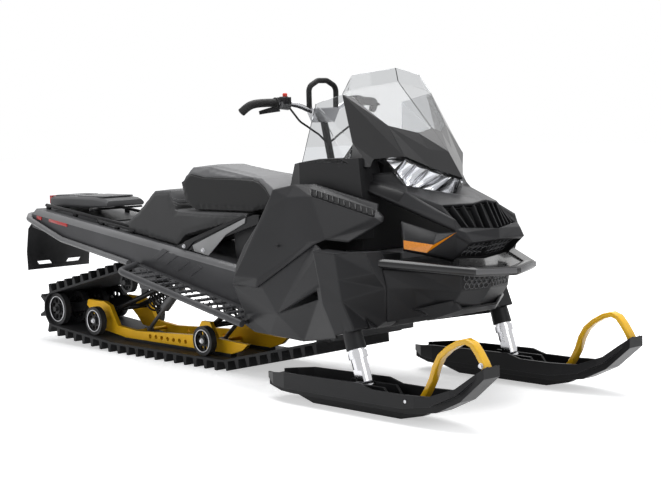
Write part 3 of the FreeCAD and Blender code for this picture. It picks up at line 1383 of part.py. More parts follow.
# Steering post, handlebar, grips, controls, strap and cables
post = node("steering_post", feature("steering_post", straight(post_low, post_top, S.post_r)))


def bar_points():
    rows = [
        (S.post_top_x, NONE, S.bar_mid_z),
        (S.post_top_x, S.bar_half * 0.16, S.bar_mid_z),
        (S.post_top_x - S.bar_r, S.bar_half * 0.36, S.bar_rise_z),
        (S.post_top_x - S.bar_r * 2, S.bar_half * 0.66, S.bar_rise_z + S.bar_r),
        (S.bar_end_x, S.bar_half, S.bar_end_z),
    ]
    return [point(x, -y, z) for x, y, z in reversed(rows)] + [point(*row) for row in rows[1:]]


route = [spot for spot in bar_points() if spot.y != 0]
riser_low = S.post_top_z - S.post_r * 2
riser = Part.makeBox((S.riser_half_x * 2).value, (S.riser_half * 2).value, (S.riser_top - riser_low).value,
                     point(S.post_top_x - S.riser_half_x, -S.riser_half, riser_low))
bar_shape = rod(route, S.bar_r, S.tube_bend).fuse(riser)
post_socket = straight(post_low, post_top, S.post_r + S.seat_gap)
handlebar = node("handlebar", feature("handlebar", bar_shape.cut(post_socket)))


def sleeve(near, start, length, outside, inside):
    """A tube round a straight stretch of the bar."""
    way = (near[1] - near[0]).normalize()
    low = near[0] + way * sized(start).value
    high = low + way * sized(length).value
    return straight(low, high, outside).cut(straight(low, high, inside))


grip = feature("grip", sleeve((route[0], route[1]), NONE, S.grip_length, S.grip_r, S.bar_r + S.seat_gap / 2))
node("grips", pair("grips", grip))
control = feature("control", sleeve((route[1], route[2]), S.grip_length / 5, S.grip_length / 3,
                                    S.grip_r * 1.4, S.bar_r + S.seat_gap / 2))
control_block = cut("control_block", control, group("bar_room", feature("bar_copy", bar_shape), grip))
controls = node("controls", pair("controls", control_block))

strap_top = S.riser_top + S.strap_rise
strap_points = [
    point(S.post_top_x, -S.strap_half, S.riser_top + S.seat_gap * 2),
    point(S.post_top_x, -S.strap_half, strap_top - S.strap_half / 3),
    point(S.post_top_x, -S.strap_half / 3, strap_top),
    point(S.post_top_x, S.strap_half / 3, strap_top),
    point(S.post_top_x, S.strap_half, strap_top - S.strap_half / 3),
    point(S.post_top_x, S.strap_half, S.riser_top + S.seat_gap * 2),
]
strap_bar = feature("strap_bar", rod(strap_points, S.strap_r, S.strap_r * 3))
node("grab_strap", cut("grab_strap", strap_bar, handlebar))

cable_share = 0.58
cable_points = [
    point(S.post_top_x - S.bar_r * 1.467, -S.bar_half * 0.5, S.bar_rise_z + S.bar_r * 0.467),
    point(S.post_top_x + S.cable_sag, -S.bar_half * 0.44, S.bar_mid_z - S.cable_sag),
    point(S.post_top_x + S.cable_sag, -S.bar_half * 0.16, S.bar_mid_z - S.cable_sag * 2.5),
    point(between(S.post_low_x, S.post_top_x, cable_share), NONE, between(S.post_low_z, S.post_top_z, cable_share)),
]
cable_bar = feature("cable_bar", rod(cable_points, S.cable_r, S.cable_r * 5))
cable = largest("cable", cut("cable_trim", cable_bar, group("cable_ends", handlebar, post, controls)))
node("cables", pair("cables", cable))


# Every object is sound and every sub-part is a valid shape before anything is written
doc.recompute()
faults = [item.Name for item in doc.Objects if {"Invalid", "Error"} & set(item.State)]
for name, item in NODES.items():
    shape = item.Shape
    if shape.isNull() or not shape.isValid() or not shape.Solids:
        faults.append(name)
if faults:
    raise SystemExit("unsound: " + ", ".join(faults))
os.makedirs("parts", exist_ok=True)
for name, item in NODES.items():
    item.Shape.exportStep(f"parts/{name}.step")
    print(name, len(item.Shape.Solids), round(item.Shape.Volume / 1000.0), "cm3")
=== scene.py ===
# %% [markdown]
# This lesson dresses a packed snowmobile in Blender. The shapes that carry, turn and fit
# come ready from the frame, in metres, with X to the nose, Y to the left and Z up.
# The script adds finishes, small parts and soft goods, and draws a few outer parts again.
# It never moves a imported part.

# %% Load the frame
import math

import bpy
from mathutils import Matrix, Vector


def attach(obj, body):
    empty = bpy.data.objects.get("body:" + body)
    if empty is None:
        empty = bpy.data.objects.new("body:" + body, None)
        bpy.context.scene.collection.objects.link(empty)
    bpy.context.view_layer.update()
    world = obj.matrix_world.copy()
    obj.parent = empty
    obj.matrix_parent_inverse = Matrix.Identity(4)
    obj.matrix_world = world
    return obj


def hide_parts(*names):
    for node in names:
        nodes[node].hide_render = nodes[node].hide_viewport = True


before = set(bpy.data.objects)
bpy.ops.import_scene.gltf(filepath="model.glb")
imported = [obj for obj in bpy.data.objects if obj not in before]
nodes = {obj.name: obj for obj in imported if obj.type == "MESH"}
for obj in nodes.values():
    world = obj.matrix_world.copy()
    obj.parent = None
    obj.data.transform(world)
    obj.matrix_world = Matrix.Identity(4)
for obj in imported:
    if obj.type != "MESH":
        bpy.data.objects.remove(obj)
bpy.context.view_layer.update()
bpy.ops.object.select_all(action="DESELECT")
print("nodes loaded:", len(nodes))

# %% [markdown]
# The camera stands where the photographer stood: low, in front and to the right of the
# machine, with a long lens. A camera's matrix holds its right, up and backward directions
# as columns, so it is written straight from the three directions that a fit gave.

# %% Camera
view_right = Vector((0.68608, 0.72705, -0.02625))
view_up = Vector((-0.04432, 0.07779, 0.99598))
view_back = view_right.cross(view_up).normalized()
camera_data = bpy.data.cameras.new("camera")
camera_data.sensor_width = 36.0
camera_data.lens = 80.62
camera_data.clip_start = 0.1
camera_data.clip_end = 60.0
camera = bpy.data.objects.new("camera", camera_data)
bpy.context.collection.objects.link(camera)
turn = Matrix((view_right, view_up, view_back)).transposed()
camera.matrix_world = Matrix.Translation((4.760, -4.088, 1.075)) @ turn.to_4x4()
bpy.context.scene.camera = camera
print("camera looks along", [round(v, 3) for v in -view_back])

# %% [markdown]
# A studio photograph has a white floor that runs into a white wall. Here the world shows
# white to the camera, and also to mirrors and glass, while its light on the machine stays
# grey and even. The floor is a plain sheet that only keeps the soft shadow.

# %% World and floor
scene = bpy.context.scene
scene.view_settings.view_transform = "Standard"
white = (1.0, 1.0, 1.0, 1.0)
white_rays = ("Is Camera Ray", "Is Glossy Ray", "Is Transmission Ray")


def add_node(tree, kind, **inputs):
    """Adds a node and sets its inputs; an underscore stands for a space."""
    made = tree.nodes.new(kind)
    for name, value in inputs.items():
        made.inputs[name.replace("_", " ")].default_value = value
    return made


def any_white_ray(tree):
    """A value that is 1 for the rays that are to see white."""
    path = tree.nodes.new("ShaderNodeLightPath")
    found = path.outputs[white_rays[0]]
    for kind in white_rays[1:]:
        either = tree.nodes.new("ShaderNodeMath")
        either.operation = "MAXIMUM"
        tree.links.new(found, either.inputs[0])
        tree.links.new(path.outputs[kind], either.inputs[1])
        found = either.outputs[0]
    return found


def empty_tree(owner):
    """The node tree of a world or a material, with nothing in it."""
    owner.use_nodes = True
    owner.node_tree.nodes.clear()
    return owner.node_tree


scene.world = bpy.data.worlds.new("studio")
tree = empty_tree(scene.world)
soft_light = add_node(tree, "ShaderNodeBackground", Color=(0.82, 0.85, 0.90, 1.0), Strength=0.26)
white_wall = add_node(tree, "ShaderNodeBackground", Color=white, Strength=1.0)
choice = add_node(tree, "ShaderNodeMixShader")
output = add_node(tree, "ShaderNodeOutputWorld")
tree.links.new(any_white_ray(tree), choice.inputs[0])
tree.links.new(soft_light.outputs[0], choice.inputs[1])
tree.links.new(white_wall.outputs[0], choice.inputs[2])
tree.links.new(choice.outputs[0], output.inputs["Surface"])

# %% [markdown]
# The floor's own white grows with the distance from the machine, so that the shadow close
# to it stays and the far edge melts into the wall.

# %% Floor
bpy.ops.mesh.primitive_plane_add(size=60.0, location=(0.0, 0.0, -0.0005))
floor = bpy.context.object
floor.name = "studio_floor"
paper = bpy.data.materials.new("floor_paper")
tree = empty_tree(paper)
matte = add_node(tree, "ShaderNodeBsdfDiffuse", Color=(0.80, 0.80, 0.80, 1.0))
glow = add_node(tree, "ShaderNodeEmission", Color=white)
spot = add_node(tree, "ShaderNodeTexCoord")
reach = add_node(tree, "ShaderNodeVectorMath")
reach.operation = "LENGTH"
tree.links.new(spot.outputs["Object"], reach.inputs[0])
far = add_node(tree, "ShaderNodeMapRange", From_Min=1.2, From_Max=2.6, To_Min=0.50, To_Max=1.0)
far.interpolation_type = "SMOOTHSTEP"
tree.links.new(reach.outputs["Value"], far.inputs["Value"])
share = add_node(tree, "ShaderNodeMath")
share.operation = "MULTIPLY"
tree.links.new(any_white_ray(tree), share.inputs[0])
tree.links.new(far.outputs[0], share.inputs[1])
tree.links.new(share.outputs[0], glow.inputs["Strength"])
sum_of_both = add_node(tree, "ShaderNodeAddShader")
output = add_node(tree, "ShaderNodeOutputMaterial")
tree.links.new(matte.outputs[0], sum_of_both.inputs[0])
tree.links.new(glow.outputs[0], sum_of_both.inputs[1])
tree.links.new(sum_of_both.outputs[0], output.inputs["Surface"])
floor.data.materials.append(paper)

# %% [markdown]
# Black machines show their form only through what their faces mirror, so the lamps are
# large: a wide one overhead lights the upper faces, one at the machine's right rakes the
# side panels, one before the nose opens its front, and a narrow one behind draws the rim of
# the shield and bars.

# %% Lamps


def add_lamp(name, place, aim, width, height, power):
    """A rectangular lamp at a place, turned to face a point."""
    data = bpy.data.lights.new(name, "AREA")
    data.shape = "RECTANGLE"
    data.size = width
    data.size_y = height
    data.energy = power
    lamp = bpy.data.objects.new(name, data)
    bpy.context.collection.objects.link(lamp)
    lamp.location = place
    lamp.rotation_mode = "QUATERNION"
    lamp.rotation_quaternion = (Vector(aim) - Vector(place)).to_track_quat("-Z", "Y")


add_lamp("overhead", (0.0, 0.2, 4.2), (0.0, 0.0, 0.6), 4.6, 3.0, 240.0)
add_lamp("side", (-1.0, -4.6, 2.3), (-0.1, 0.0, 0.5), 3.2, 2.2, 55.0)
add_lamp("front", (4.4, -0.4, 2.4), (0.9, 0.0, 0.6), 2.2, 1.8, 40.0)
add_lamp("rim", (-1.6, 2.6, 4.2), (0.2, 0.0, 0.9), 2.0, 1.2, 50.0)

# %% [markdown]
# Finishes are built from nodes. To keep the maths readable, a small class wraps a node's
# socket and takes Python's own signs: `1 - mask` adds a subtracting node. Every other node
# comes from one method that sets its options first and then fills its inputs. The white
# studio would turn dark plastic milky, so every surface mirrors a little less than usual.

# %% Shader maths
mirror_share = 0.16


def shade(colour, factor, lift=0.0):
    """A colour made darker or lighter."""
    return tuple(min(part * factor + lift, 1.0) for part in colour)


class Wire:
    """A socket that a shader's maths can use, with Python's signs for adding nodes."""

    def __init__(self, finish, socket):
        self.finish = finish
        self.socket = socket

    def __add__(self, other):
        return self.finish.maths("ADD", self, other)

    def __radd__(self, other):
        return self.finish.maths("ADD", other, self)

    def __sub__(self, other):
        return self.finish.maths("SUBTRACT", self, other)

    def __rsub__(self, other):
        return self.finish.maths("SUBTRACT", other, self)

    def __mul__(self, other):
        return self.finish.maths("MULTIPLY", self, other)

    def __rmul__(self, other):
        return self.finish.maths("MULTIPLY", other, self)


class Finish:
    """A material with one Principled shader, and the nodes that feed it."""

    def __init__(self, name):
        self.material = bpy.data.materials.new(name)
        self.material.use_nodes = True
        self.tree = self.material.node_tree
        self.shader = self.tree.nodes["Principled BSDF"]
        self.shader.inputs["Specular IOR Level"].default_value = mirror_share
        self.place = self.node("ShaderNodeTexCoord", out="Object")

    def node(self, kind, options=(), out=0, **inputs):
        """Adds a node, sets its options, fills its inputs and returns one output as a Wire."""
        made = self.tree.nodes.new(kind)
        for name, value in dict(options).items():
            setattr(made, name, value)
        for name, value in inputs.items():
            self.fill(made.inputs[name.replace("_", " ")], value)
        return Wire(self, made.outputs[out])

    def fill(self, socket, value):
        """Links a wire to a socket, or writes a plain value there."""
        if isinstance(value, Wire):
            self.tree.links.new(value.socket, socket)
        else:
            socket.default_value = value

    def maths(self, operation, first, second):
        """One step of arithmetic."""
        made = self.tree.nodes.new("ShaderNodeMath")
        made.operation = operation
        self.fill(made.inputs[0], first)
        self.fill(made.inputs[1], second)
        return Wire(self, made.outputs[0])

    def noise(self, scale, detail=3.0, stretch=(1.0, 1.0, 1.0)):
        """Grey noise, from about 0.2 to 0.8; stretch squeezes the pattern along each axis."""
        spot = self.node("ShaderNodeMapping", Vector=self.place, Scale=stretch)
        return self.node("ShaderNodeTexNoise", out="Fac", Vector=spot, Scale=scale, Detail=detail)

    def cells(self, scale, feature="F1"):
        """Distances in a pattern of small cells."""
        return self.node("ShaderNodeTexVoronoi", {"feature": feature}, out="Distance",
                         Vector=self.place, Scale=scale)

    def between(self, value, low, high):
        """How far a value is on its way from low to high, from 0 to 1."""
        return self.node("ShaderNodeMapRange", {"clamp": True}, out="Result", Value=value,
                         From_Min=low, From_Max=high)

    def tinted(self, value, colour, dark, light):
        """A colour that drifts between two shades, each given as (place, factor)."""
        return self.ramp(value, [(place, shade(colour, factor)) for place, factor in (dark, light)])

    def ramp(self, value, stops):
        """A colour ramp through (place, grey or colour) stops."""
        made = self.tree.nodes.new("ShaderNodeValToRGB")
        band = made.color_ramp
        while len(band.elements) < len(stops):
            band.elements.new(0.5)
        for element, (spot, colour) in zip(band.elements, stops):
            element.position = spot
            colour = colour if isinstance(colour, tuple) else (colour, colour, colour)
            element.color = (*colour, 1.0)
        self.fill(made.inputs["Fac"], value)
        return Wire(self, made.outputs["Color"])

    def blend(self, factor, first, second):
        """A mix of two colours."""
        made = self.tree.nodes.new("ShaderNodeMix")
        made.data_type = "RGBA"
        self.fill(made.inputs["Factor"], factor)
        sockets = [s for s in made.inputs if s.type == "RGBA"]
        for socket, value in zip(sockets, (first, second)):
            self.fill(socket, value if isinstance(value, Wire) else (*value, 1.0))
        result = next(s for s in made.outputs if s.type == "RGBA")
        return Wire(self, result)

    def rounded(self, radius):
        """The surface's direction with its sharp edges rounded over a radius."""
        return self.node("ShaderNodeBevel", {"samples": 6}, out="Normal", Radius=radius)

    def edges(self, radius, low=0.02, high=0.20):
        """A mask that is 1 on edges and 0 on open faces, for worn edges and a painted highlight along them.
        """
        true_normal = self.node("ShaderNodeNewGeometry", out="Normal")
        same = self.node("ShaderNodeVectorMath", {"operation": "DOT_PRODUCT"}, out="Value")
        joints = same.socket.node.inputs
        self.fill(joints[0], self.rounded(radius))
        self.fill(joints[1], true_normal)
        return self.between(1 - same, low, high)

    def bump(self, height, strength, distance=0.001, radius=0.0):
        """Turns a height into fine relief, over edges that are rounded by a radius."""
        normal = self.node("ShaderNodeBump", out="Normal", Height=height, Strength=strength,
                           Distance=distance)
        if radius:
            self.fill(normal.socket.node.inputs["Normal"], self.rounded(radius))
        self.fill(self.shader.inputs["Normal"], normal)

    def set(self, **inputs):
        """Sets the shader's own sockets; an underscore stands for a space."""
        for name, value in inputs.items():
            if isinstance(value, tuple) and len(value) == 3:
                value = (*value, 1.0)
            self.fill(self.shader.inputs[name.replace("_", " ")], value)


# %% [markdown]
# Moulded body panels are charcoal plastic with a fine grain. The grain is too small to
# model, so a bump from dense noise breaks up the gloss, and a slow noise makes some places
# a little duller, as handled plastic is. A gloss black has only a faint waviness.

# %% Plastics


def moulded(name, colour, rough, grain=900.0, depth=0.25, edge_wear_and_highlight=0.7, soften=0.0022):
    """Grained plastic: slow patches in the roughness and a fine bump."""
    made = Finish(name)
    patches = made.noise(3.0, 4.0)
    fine = made.noise(grain, 2.0)
    tint = made.tinted(patches, colour, (0.30, 0.86), (0.70, 1.12))
    # Edges are painted lighter: partly wear, partly a painted highlight along them.
    worn_and_highlit_edges = made.blend(made.edges(0.003) * edge_wear_and_highlight, tint, shade(colour, 3.0, 0.02))
    made.set(Base_Color=worn_and_highlit_edges, Roughness=patches * 0.16 + (rough - 0.08))
    made.bump(fine, depth, 0.0004, soften)
    return made.material


def glossy(name, colour, rough=0.12, coat=0.5):
    """Smooth plastic with a clear top coat and the slight waviness of a moulding."""
    made = Finish(name)
    waves = made.noise(14.0, 2.0)
    smudges = made.noise(7.0, 5.0)
    tint = made.tinted(smudges, colour, (0.30, 0.90), (0.70, 1.06))
    made.set(Base_Color=tint, Roughness=smudges * 0.10 + (rough - 0.04), Coat_Weight=coat,
             Coat_Roughness=0.06)
    made.bump(waves, 0.05, 0.001, 0.002)
    return made.material


body_plastic = moulded("charcoal_body", (0.0195, 0.0195, 0.021), 0.38, soften=0.012)
box_plastic = moulded("box_plastic", (0.060, 0.060, 0.062), 0.34, soften=0.004)
trim_plastic = moulded("black_trim", (0.014, 0.014, 0.015), 0.46)
# Its grey is raised as painted light, so that the cells show in the shade under the nose.
comb_grey_painted_light = moulded("comb_grey_painted_light", (0.170, 0.170, 0.175), 0.42, edge_wear_and_highlight=0.2)
# Near black: painted shade for the openings of the vents.
vent_shade_black = moulded("vent_shade_black", (0.004, 0.004, 0.0045), 0.66, edge_wear_and_highlight=0.0)
ski_plastic = moulded("ski_plastic", (0.012, 0.012, 0.013), 0.36, grain=500.0)
shroud_plastic = glossy("shroud_plastic", (0.016, 0.016, 0.017), 0.20, 0.5)
red_button = glossy("red_button", (0.60, 0.030, 0.012), 0.30, 0.3)
bumper_black = glossy("bumper_black", (0.014, 0.014, 0.015), 0.24, 0.4)
band_black = glossy("band_black", (0.010, 0.010, 0.011), 0.34, 0.1)
loop_yellow = glossy("loop_yellow", (0.84, 0.47, 0.012), 0.22, 0.6)

# %% [markdown]
# The tunnel is folded sheet with a dark powder coat. Powder coat looks like orange peel
# close up: a noise bump at about half a millimetre. Tubes wear it too, a shade blacker.

# %% Coated metals


def powder_coat(name, colour, rough):
    """Coated metal: the bump of orange peel, and paler edges, partly where the coat is worn and partly a
    painted highlight.
    """
    made = Finish(name)
    lumps = made.noise(420.0, 1.0)
    patches = made.noise(5.0, 4.0)
    tint = made.tinted(patches, colour, (0.30, 0.85), (0.72, 1.10))
    # Edges are painted paler: partly worn coat, partly a painted highlight.
    worn_and_highlit_edges = made.blend(made.edges(0.002) * 0.6, tint, shade(colour, 2.2, 0.02))
    made.set(Base_Color=worn_and_highlit_edges, Roughness=patches * 0.14 + (rough - 0.07), Metallic=0.25)
    made.bump(lumps, 0.22, 0.0005, 0.0015)
    return made.material


tunnel_coat = powder_coat("tunnel_coat", (0.058, 0.058, 0.061), 0.36)
black_coat = powder_coat("black_coat", (0.016, 0.016, 0.017), 0.34)
grey_coat = powder_coat("grey_coat", (0.150, 0.150, 0.153), 0.42)
light_coat = powder_coat("light_coat", (0.270, 0.270, 0.273), 0.40)
# A lighter grey, laid on the tunnel's fold and the bumper's point as a painted highlight.
highlight_grey_coat = powder_coat("highlight_grey_coat", (0.125, 0.125, 0.128), 0.34)
spring_coat = powder_coat("spring_coat", (0.020, 0.020, 0.021), 0.30)
rail_yellow = powder_coat("rail_yellow", (0.78, 0.43, 0.010), 0.40)


def bare_metal(name, colour, rough, stretch=(1.0, 1.0, 1.0)):
    """Bright metal with fine drawn lines along one axis."""
    made = Finish(name)
    lines = made.noise(120.0, 2.0, stretch)
    made.set(Base_Color=colour, Metallic=1.0, Roughness=lines * 0.16 + (rough - 0.08))
    made.bump(lines, 0.04, 0.0004)
    return made.material


lamp_chrome = bare_metal("lamp_chrome", (0.66, 0.66, 0.68), 0.22, (1.0, 1.0, 0.10))
chrome = bare_metal("bright_tube", (0.58, 0.58, 0.60), 0.16, (1.0, 1.0, 0.06))
bolt_metal = bare_metal("bolt_metal", (0.55, 0.55, 0.57), 0.30)
cast_metal = bare_metal("cast_metal", (0.30, 0.30, 0.31), 0.48)
riser_metal = bare_metal("riser_metal", (0.36, 0.36, 0.37), 0.42)

# %% [markdown]
# Rubber is the dullest black of all. The track's rubber carries cord and dust, so its
# bump is coarser and its colour drifts towards grey on high spots.

# %% Rubbers and seat cover


def rubbery(name, colour, rough, grain, depth):
    """Dull rubber with a grain, greyer where dust lies."""
    made = Finish(name)
    dust = made.noise(9.0, 6.0)
    tint = made.tinted(dust, colour, (0.35, 0.8), (0.75, 1.7))
    made.set(Base_Color=tint, Roughness=dust * 0.18 + (rough - 0.09))
    made.bump(made.noise(grain, 3.0), depth, 0.0008)
    return made.material


track_rubber = rubbery("track_rubber", (0.017, 0.017, 0.018), 0.58, 260.0, 0.45)
soft_rubber = rubbery("soft_rubber", (0.012, 0.012, 0.012), 0.62, 500.0, 0.30)
flap_rubber = rubbery("flap_rubber", (0.020, 0.020, 0.021), 0.50, 350.0, 0.25)


def ribbed_grip():
    """Rubber with fine rings across the bar and small cells between them."""
    made = Finish("grip_rubber")
    across = made.node("ShaderNodeSeparateXYZ", out="Y", Vector=made.place)
    rings = made.maths("SINE", across * 1500.0, 0.0)
    cells = made.cells(380.0)
    dust = made.noise(12.0, 4.0)
    tint = made.ramp(dust, [(0.35, (0.010, 0.010, 0.010)), (0.75, (0.028, 0.028, 0.028))])
    made.set(Base_Color=tint, Roughness=dust * 0.2 + 0.42)
    made.bump(rings * 0.4 + cells, 0.6, 0.0012)
    return made.material


grip_rubber = ribbed_grip()
wheel_rubber = rubbery("wheel_rubber", (0.022, 0.022, 0.023), 0.48, 420.0, 0.20)


def seat_cover(name, colour, rough):
    """Coated seat cloth: a small cell pattern like leather grain."""
    made = Finish(name)
    cells = made.cells(330.0, "DISTANCE_TO_EDGE")
    patches = made.noise(6.0, 4.0)
    tint = made.tinted(patches, colour, (0.30, 0.84), (0.70, 1.16))
    made.set(Base_Color=tint, Roughness=patches * 0.14 + (rough - 0.07))
    made.bump(cells, 0.35, 0.0006)
    return made.material


seat_grey = seat_cover("seat_grey", (0.060, 0.060, 0.063), 0.56)
seat_black = seat_cover("seat_black", (0.018, 0.018, 0.019), 0.50)

# %% [markdown]
# Clear parts: the shield is smoke-tinted sheet, so it tints what is behind it and still
# mirrors the lamps. The lamp's cover is the same without the smoke. Lenses and reflectors
# are coloured plastic over small prisms, which a cell bump stands for, with a faint painted glow.

# %% Clear and coloured plastics


def clear_sheet(name, tint):
    """Thin clear plastic, a little wavy."""
    made = Finish(name)
    made.set(Base_Color=tint, Roughness=0.02, Transmission_Weight=1.0, IOR=1.25)
    made.bump(made.noise(5.0, 2.0), 0.02, 0.001)
    return made.material


smoke_shield = clear_sheet("smoke_shield", (0.62, 0.63, 0.64))
lamp_cover = clear_sheet("lamp_cover", (0.92, 0.93, 0.94))


def prism_lens(name, colour, glow):
    """Coloured plastic over small prisms, with a faint painted glow."""
    made = Finish(name)
    cells = made.cells(260.0)
    tint = made.tinted(cells, colour, (0.0, 0.65), (0.6, 1.0))
    made.set(Base_Color=tint, Roughness=0.18, Coat_Weight=0.7, Emission_Color=tint,
             Emission_Strength=glow)
    made.bump(cells, 0.35, 0.0008)
    return made.material


# The glow on these lenses is painted light.
amber_lens = prism_lens("amber_lens", (0.80, 0.26, 0.010), 0.10)
red_lens = prism_lens("red_lens", (0.42, 0.012, 0.010), 0.05)

# %% [markdown]
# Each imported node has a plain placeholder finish. A table gives every one its real finish,
# and the print at its end names any node that was forgotten.

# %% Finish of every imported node
finish_of = {
    "track": track_rubber,
    "idler_wheels": wheel_rubber,
    "drive_shaft": trim_plastic,
    "slide_rails": rail_yellow,
    "slide_shoes": trim_plastic,
    "tail_rails": black_coat,
    "front_arm": black_coat,
    "rear_arm": black_coat,
    "shocks": grey_coat,
    "tunnel": tunnel_coat,
    "running_boards": tunnel_coat,
    "rear_bumper": grey_coat,
    "snow_flap": flap_rubber,
    "cargo_box": box_plastic,
    "tail_lamp": red_lens,
    "seat": seat_grey,
    "seat_base": seat_black,
    "seat_brackets": black_coat,
    "engine": cast_metal,
    "belly_pan": body_plastic,
    "upper_panels": body_plastic,
    "lower_panels": body_plastic,
    "hood": body_plastic,
    "side_reflectors": amber_lens,
    "grilles": trim_plastic,
    "front_bumper": bumper_black,
    "chin_panel": body_plastic,
    "strut_housings": body_plastic,
    "spindle_right": chrome,
    "spindle_left": chrome,
    "ski_right": ski_plastic,
    "ski_left": ski_plastic,
    "ski_loop_right": loop_yellow,
    "ski_loop_left": loop_yellow,
    "headlamps": trim_plastic,
    "lamp_lens": lamp_cover,
    "windshield": smoke_shield,
    "windshield_frame": shroud_plastic,
    "console": trim_plastic,
    "steering_post": black_coat,
    "handlebar": black_coat,
    "grips": soft_rubber,
    "controls": grey_coat,
    "grab_strap": soft_rubber,
    "cables": soft_rubber,
}
for name, material in finish_of.items():
    nodes[name].data.materials.clear()
    nodes[name].data.materials.append(material)
print("nodes without a finish:", sorted(set(nodes) - set(finish_of)))

# %% [markdown]
# Every new piece goes through the same few steps. It starts as one primitive, alone in the
# selection. It is shaped in edit mode, where faces are picked in code by their place or
# direction. At the end its place is baked into its mesh and it is told what it rides on.

# %% Starting, picking and settling a piece


def alone(piece=None):
    """Leaves edit mode and selects nothing, or only one piece."""
    if bpy.context.object and bpy.context.object.mode != "OBJECT":
        bpy.ops.object.mode_set(mode="OBJECT")
    bpy.ops.object.select_all(action="DESELECT")
    if piece:
        piece.select_set(True)
        bpy.context.view_layer.objects.active = piece
    return piece


def primitive(kind, **settings):
    """Adds a primitive, alone in the selection."""
    alone()
    getattr(bpy.ops.mesh, f"primitive_{kind}_add")(**settings)
    return bpy.context.object


def pick(piece, test, part="faces"):
    """Opens a piece in edit mode with only the faces, edges or points that pass a test picked."""
    alone(piece)
    bpy.ops.object.mode_set(mode="EDIT")
    bpy.ops.mesh.select_all(action="DESELECT")
    bpy.ops.mesh.select_mode(type={"faces": "FACE", "edges": "EDGE", "vertices": "VERT"}[part])
    bpy.ops.object.mode_set(mode="OBJECT")
    parts = {"faces": piece.data.polygons, "edges": piece.data.edges, "vertices": piece.data.vertices}
    for item in parts[part]:
        item.select = bool(test(item))
    bpy.ops.object.mode_set(mode="EDIT")


def modify(piece, kind, **settings):
    """Adds a modifier, sets it and applies it."""
    alone(piece)
    modifier = piece.modifiers.new(kind.lower(), kind)
    for name, value in settings.items():
        setattr(modifier, name, value)
    bpy.ops.object.modifier_apply(modifier=modifier.name)
    return piece


def settle(piece, name, material, body, angle=35.0):
    """Bakes a piece's place into its mesh, then names, finishes and mounts it."""
    alone(piece)
    bpy.ops.object.transform_apply(location=True, rotation=True, scale=True)
    bpy.ops.object.shade_smooth_by_angle(angle=math.radians(angle))
    piece.name = name
    piece.data.name = name
    piece.data.materials.clear()
    piece.data.materials.append(material)
    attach(piece, body)
    alone()
    return piece


def frame_to(direction):
    """A turn that takes the Z axis to a direction."""
    return Vector(direction).to_track_quat("Z", "Y").to_matrix().to_4x4()


def cuboid(size, place=(0.0, 0.0, 0.0)):
    """A box of a size, with its middle at a place."""
    box = primitive("cube", size=1.0)
    box.dimensions = size
    box.location = place
    bpy.ops.object.transform_apply(location=True, rotation=False, scale=True)
    return box


def push(distance):
    """Extrudes the picked faces along Z."""
    bpy.ops.mesh.extrude_region_move(TRANSFORM_OT_translate={"value": (0.0, 0.0, distance)})


def join_pieces(pieces):
    """Joins pieces in the first of them."""
    alone(pieces[0])
    for piece in pieces:
        piece.select_set(True)
    if len(pieces) > 1:
        bpy.ops.object.join()
    return pieces[0]


def repeat(form, turns):
    """Copies one modelled form by a list of matrices and joins the copies in one piece."""
    made = []
    for turn in turns:
        twin = form.copy()
        twin.data = form.data.copy()
        twin.matrix_world = turn
        bpy.context.collection.objects.link(twin)
        made.append(twin)
    bpy.data.objects.remove(form, do_unlink=True)
    return join_pieces(made)


def copies(form, places):
    """Copies one form to (place, direction, size) spots."""
    return repeat(form, [Matrix.Translation(place) @ frame_to(direction) @ Matrix.Scale(size, 4)
                         for place, direction, size in places])


def facing_out(piece):
    """Merges a piece's doubles and turns its faces outwards."""
    alone(piece)
    bpy.ops.object.transform_apply(location=True, rotation=True, scale=True)
    pick(piece, lambda face: True)
    bpy.ops.mesh.remove_doubles(threshold=0.00002)
    bpy.ops.mesh.normals_make_consistent(inside=False)
    alone(piece)
    return piece


def both(places):
    """The spots given for the right side, and their mirror images on the left."""
    return places + [((x, -y, z), (a, -b, c), size) for (x, y, z), (a, b, c), size in places]


sides = (("right", 1), ("left", -1))
upright = Matrix.Identity(4)
ski_y = 0.4065

# %% [markdown]
# The machine is held by flange bolts with a hexagonal head. One is modelled at a size of
# one: a six-sided prism whose top is inset and pressed in, on a thin round flange. All the
# others are copies of it at their own size.

# %% Flange bolt


def bolt_form():
    """A hexagonal head on a round flange, one unit wide, standing along Z."""
    head = primitive("cylinder", vertices=6, radius=0.36, depth=0.30, location=(0.0, 0.0, 0.24))
    pick(head, lambda face: face.normal.z > 0.9)
    bpy.ops.mesh.inset(thickness=0.10)
    push(-0.06)
    alone()
    flange = primitive("cylinder", vertices=20, radius=0.50, depth=0.12, location=(0.0, 0.0, 0.05))
    pick(flange, lambda face: face.normal.z > 0.9)
    bpy.ops.mesh.bevel(offset=0.04, segments=1)
    join_pieces([head, flange])
    bpy.ops.object.transform_apply(location=True, rotation=True, scale=True)
    return head


def bolts(name, body, places, material=bolt_metal):
    """A set of flange bolts on one body."""
    settle(copies(bolt_form(), places), name, material, body)
    print(name, len(places))


# %% [markdown]
# The seat is foam under a sewn cover: a grey panel on top, darker panels at the sides, and
# a raised seam between them. Foam has no flat faces, so the plain solid is copied, made a
# bit smaller, given an even net of small faces, and blown up gently as cloth. The seam is
# pressed in afterwards, because the net would lose it.

# %% Blowing up a pad


def pad_from(node_name, name, voxel, shrink):
    """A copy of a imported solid, a little smaller, with an even net of faces."""
    form = nodes[node_name].copy()
    form.data = nodes[node_name].data.copy()
    form.name = name
    bpy.context.collection.objects.link(form)
    pick(form, lambda face: True)
    bpy.ops.mesh.remove_doubles(threshold=0.00005)
    bpy.ops.mesh.normals_make_consistent(inside=False)
    alone(form)
    modify(form, "REMESH", mode="VOXEL", voxel_size=voxel)
    modify(form, "DISPLACE", strength=-shrink, mid_level=0.0)
    modify(form, "SMOOTH", factor=0.5, iterations=2)
    return form


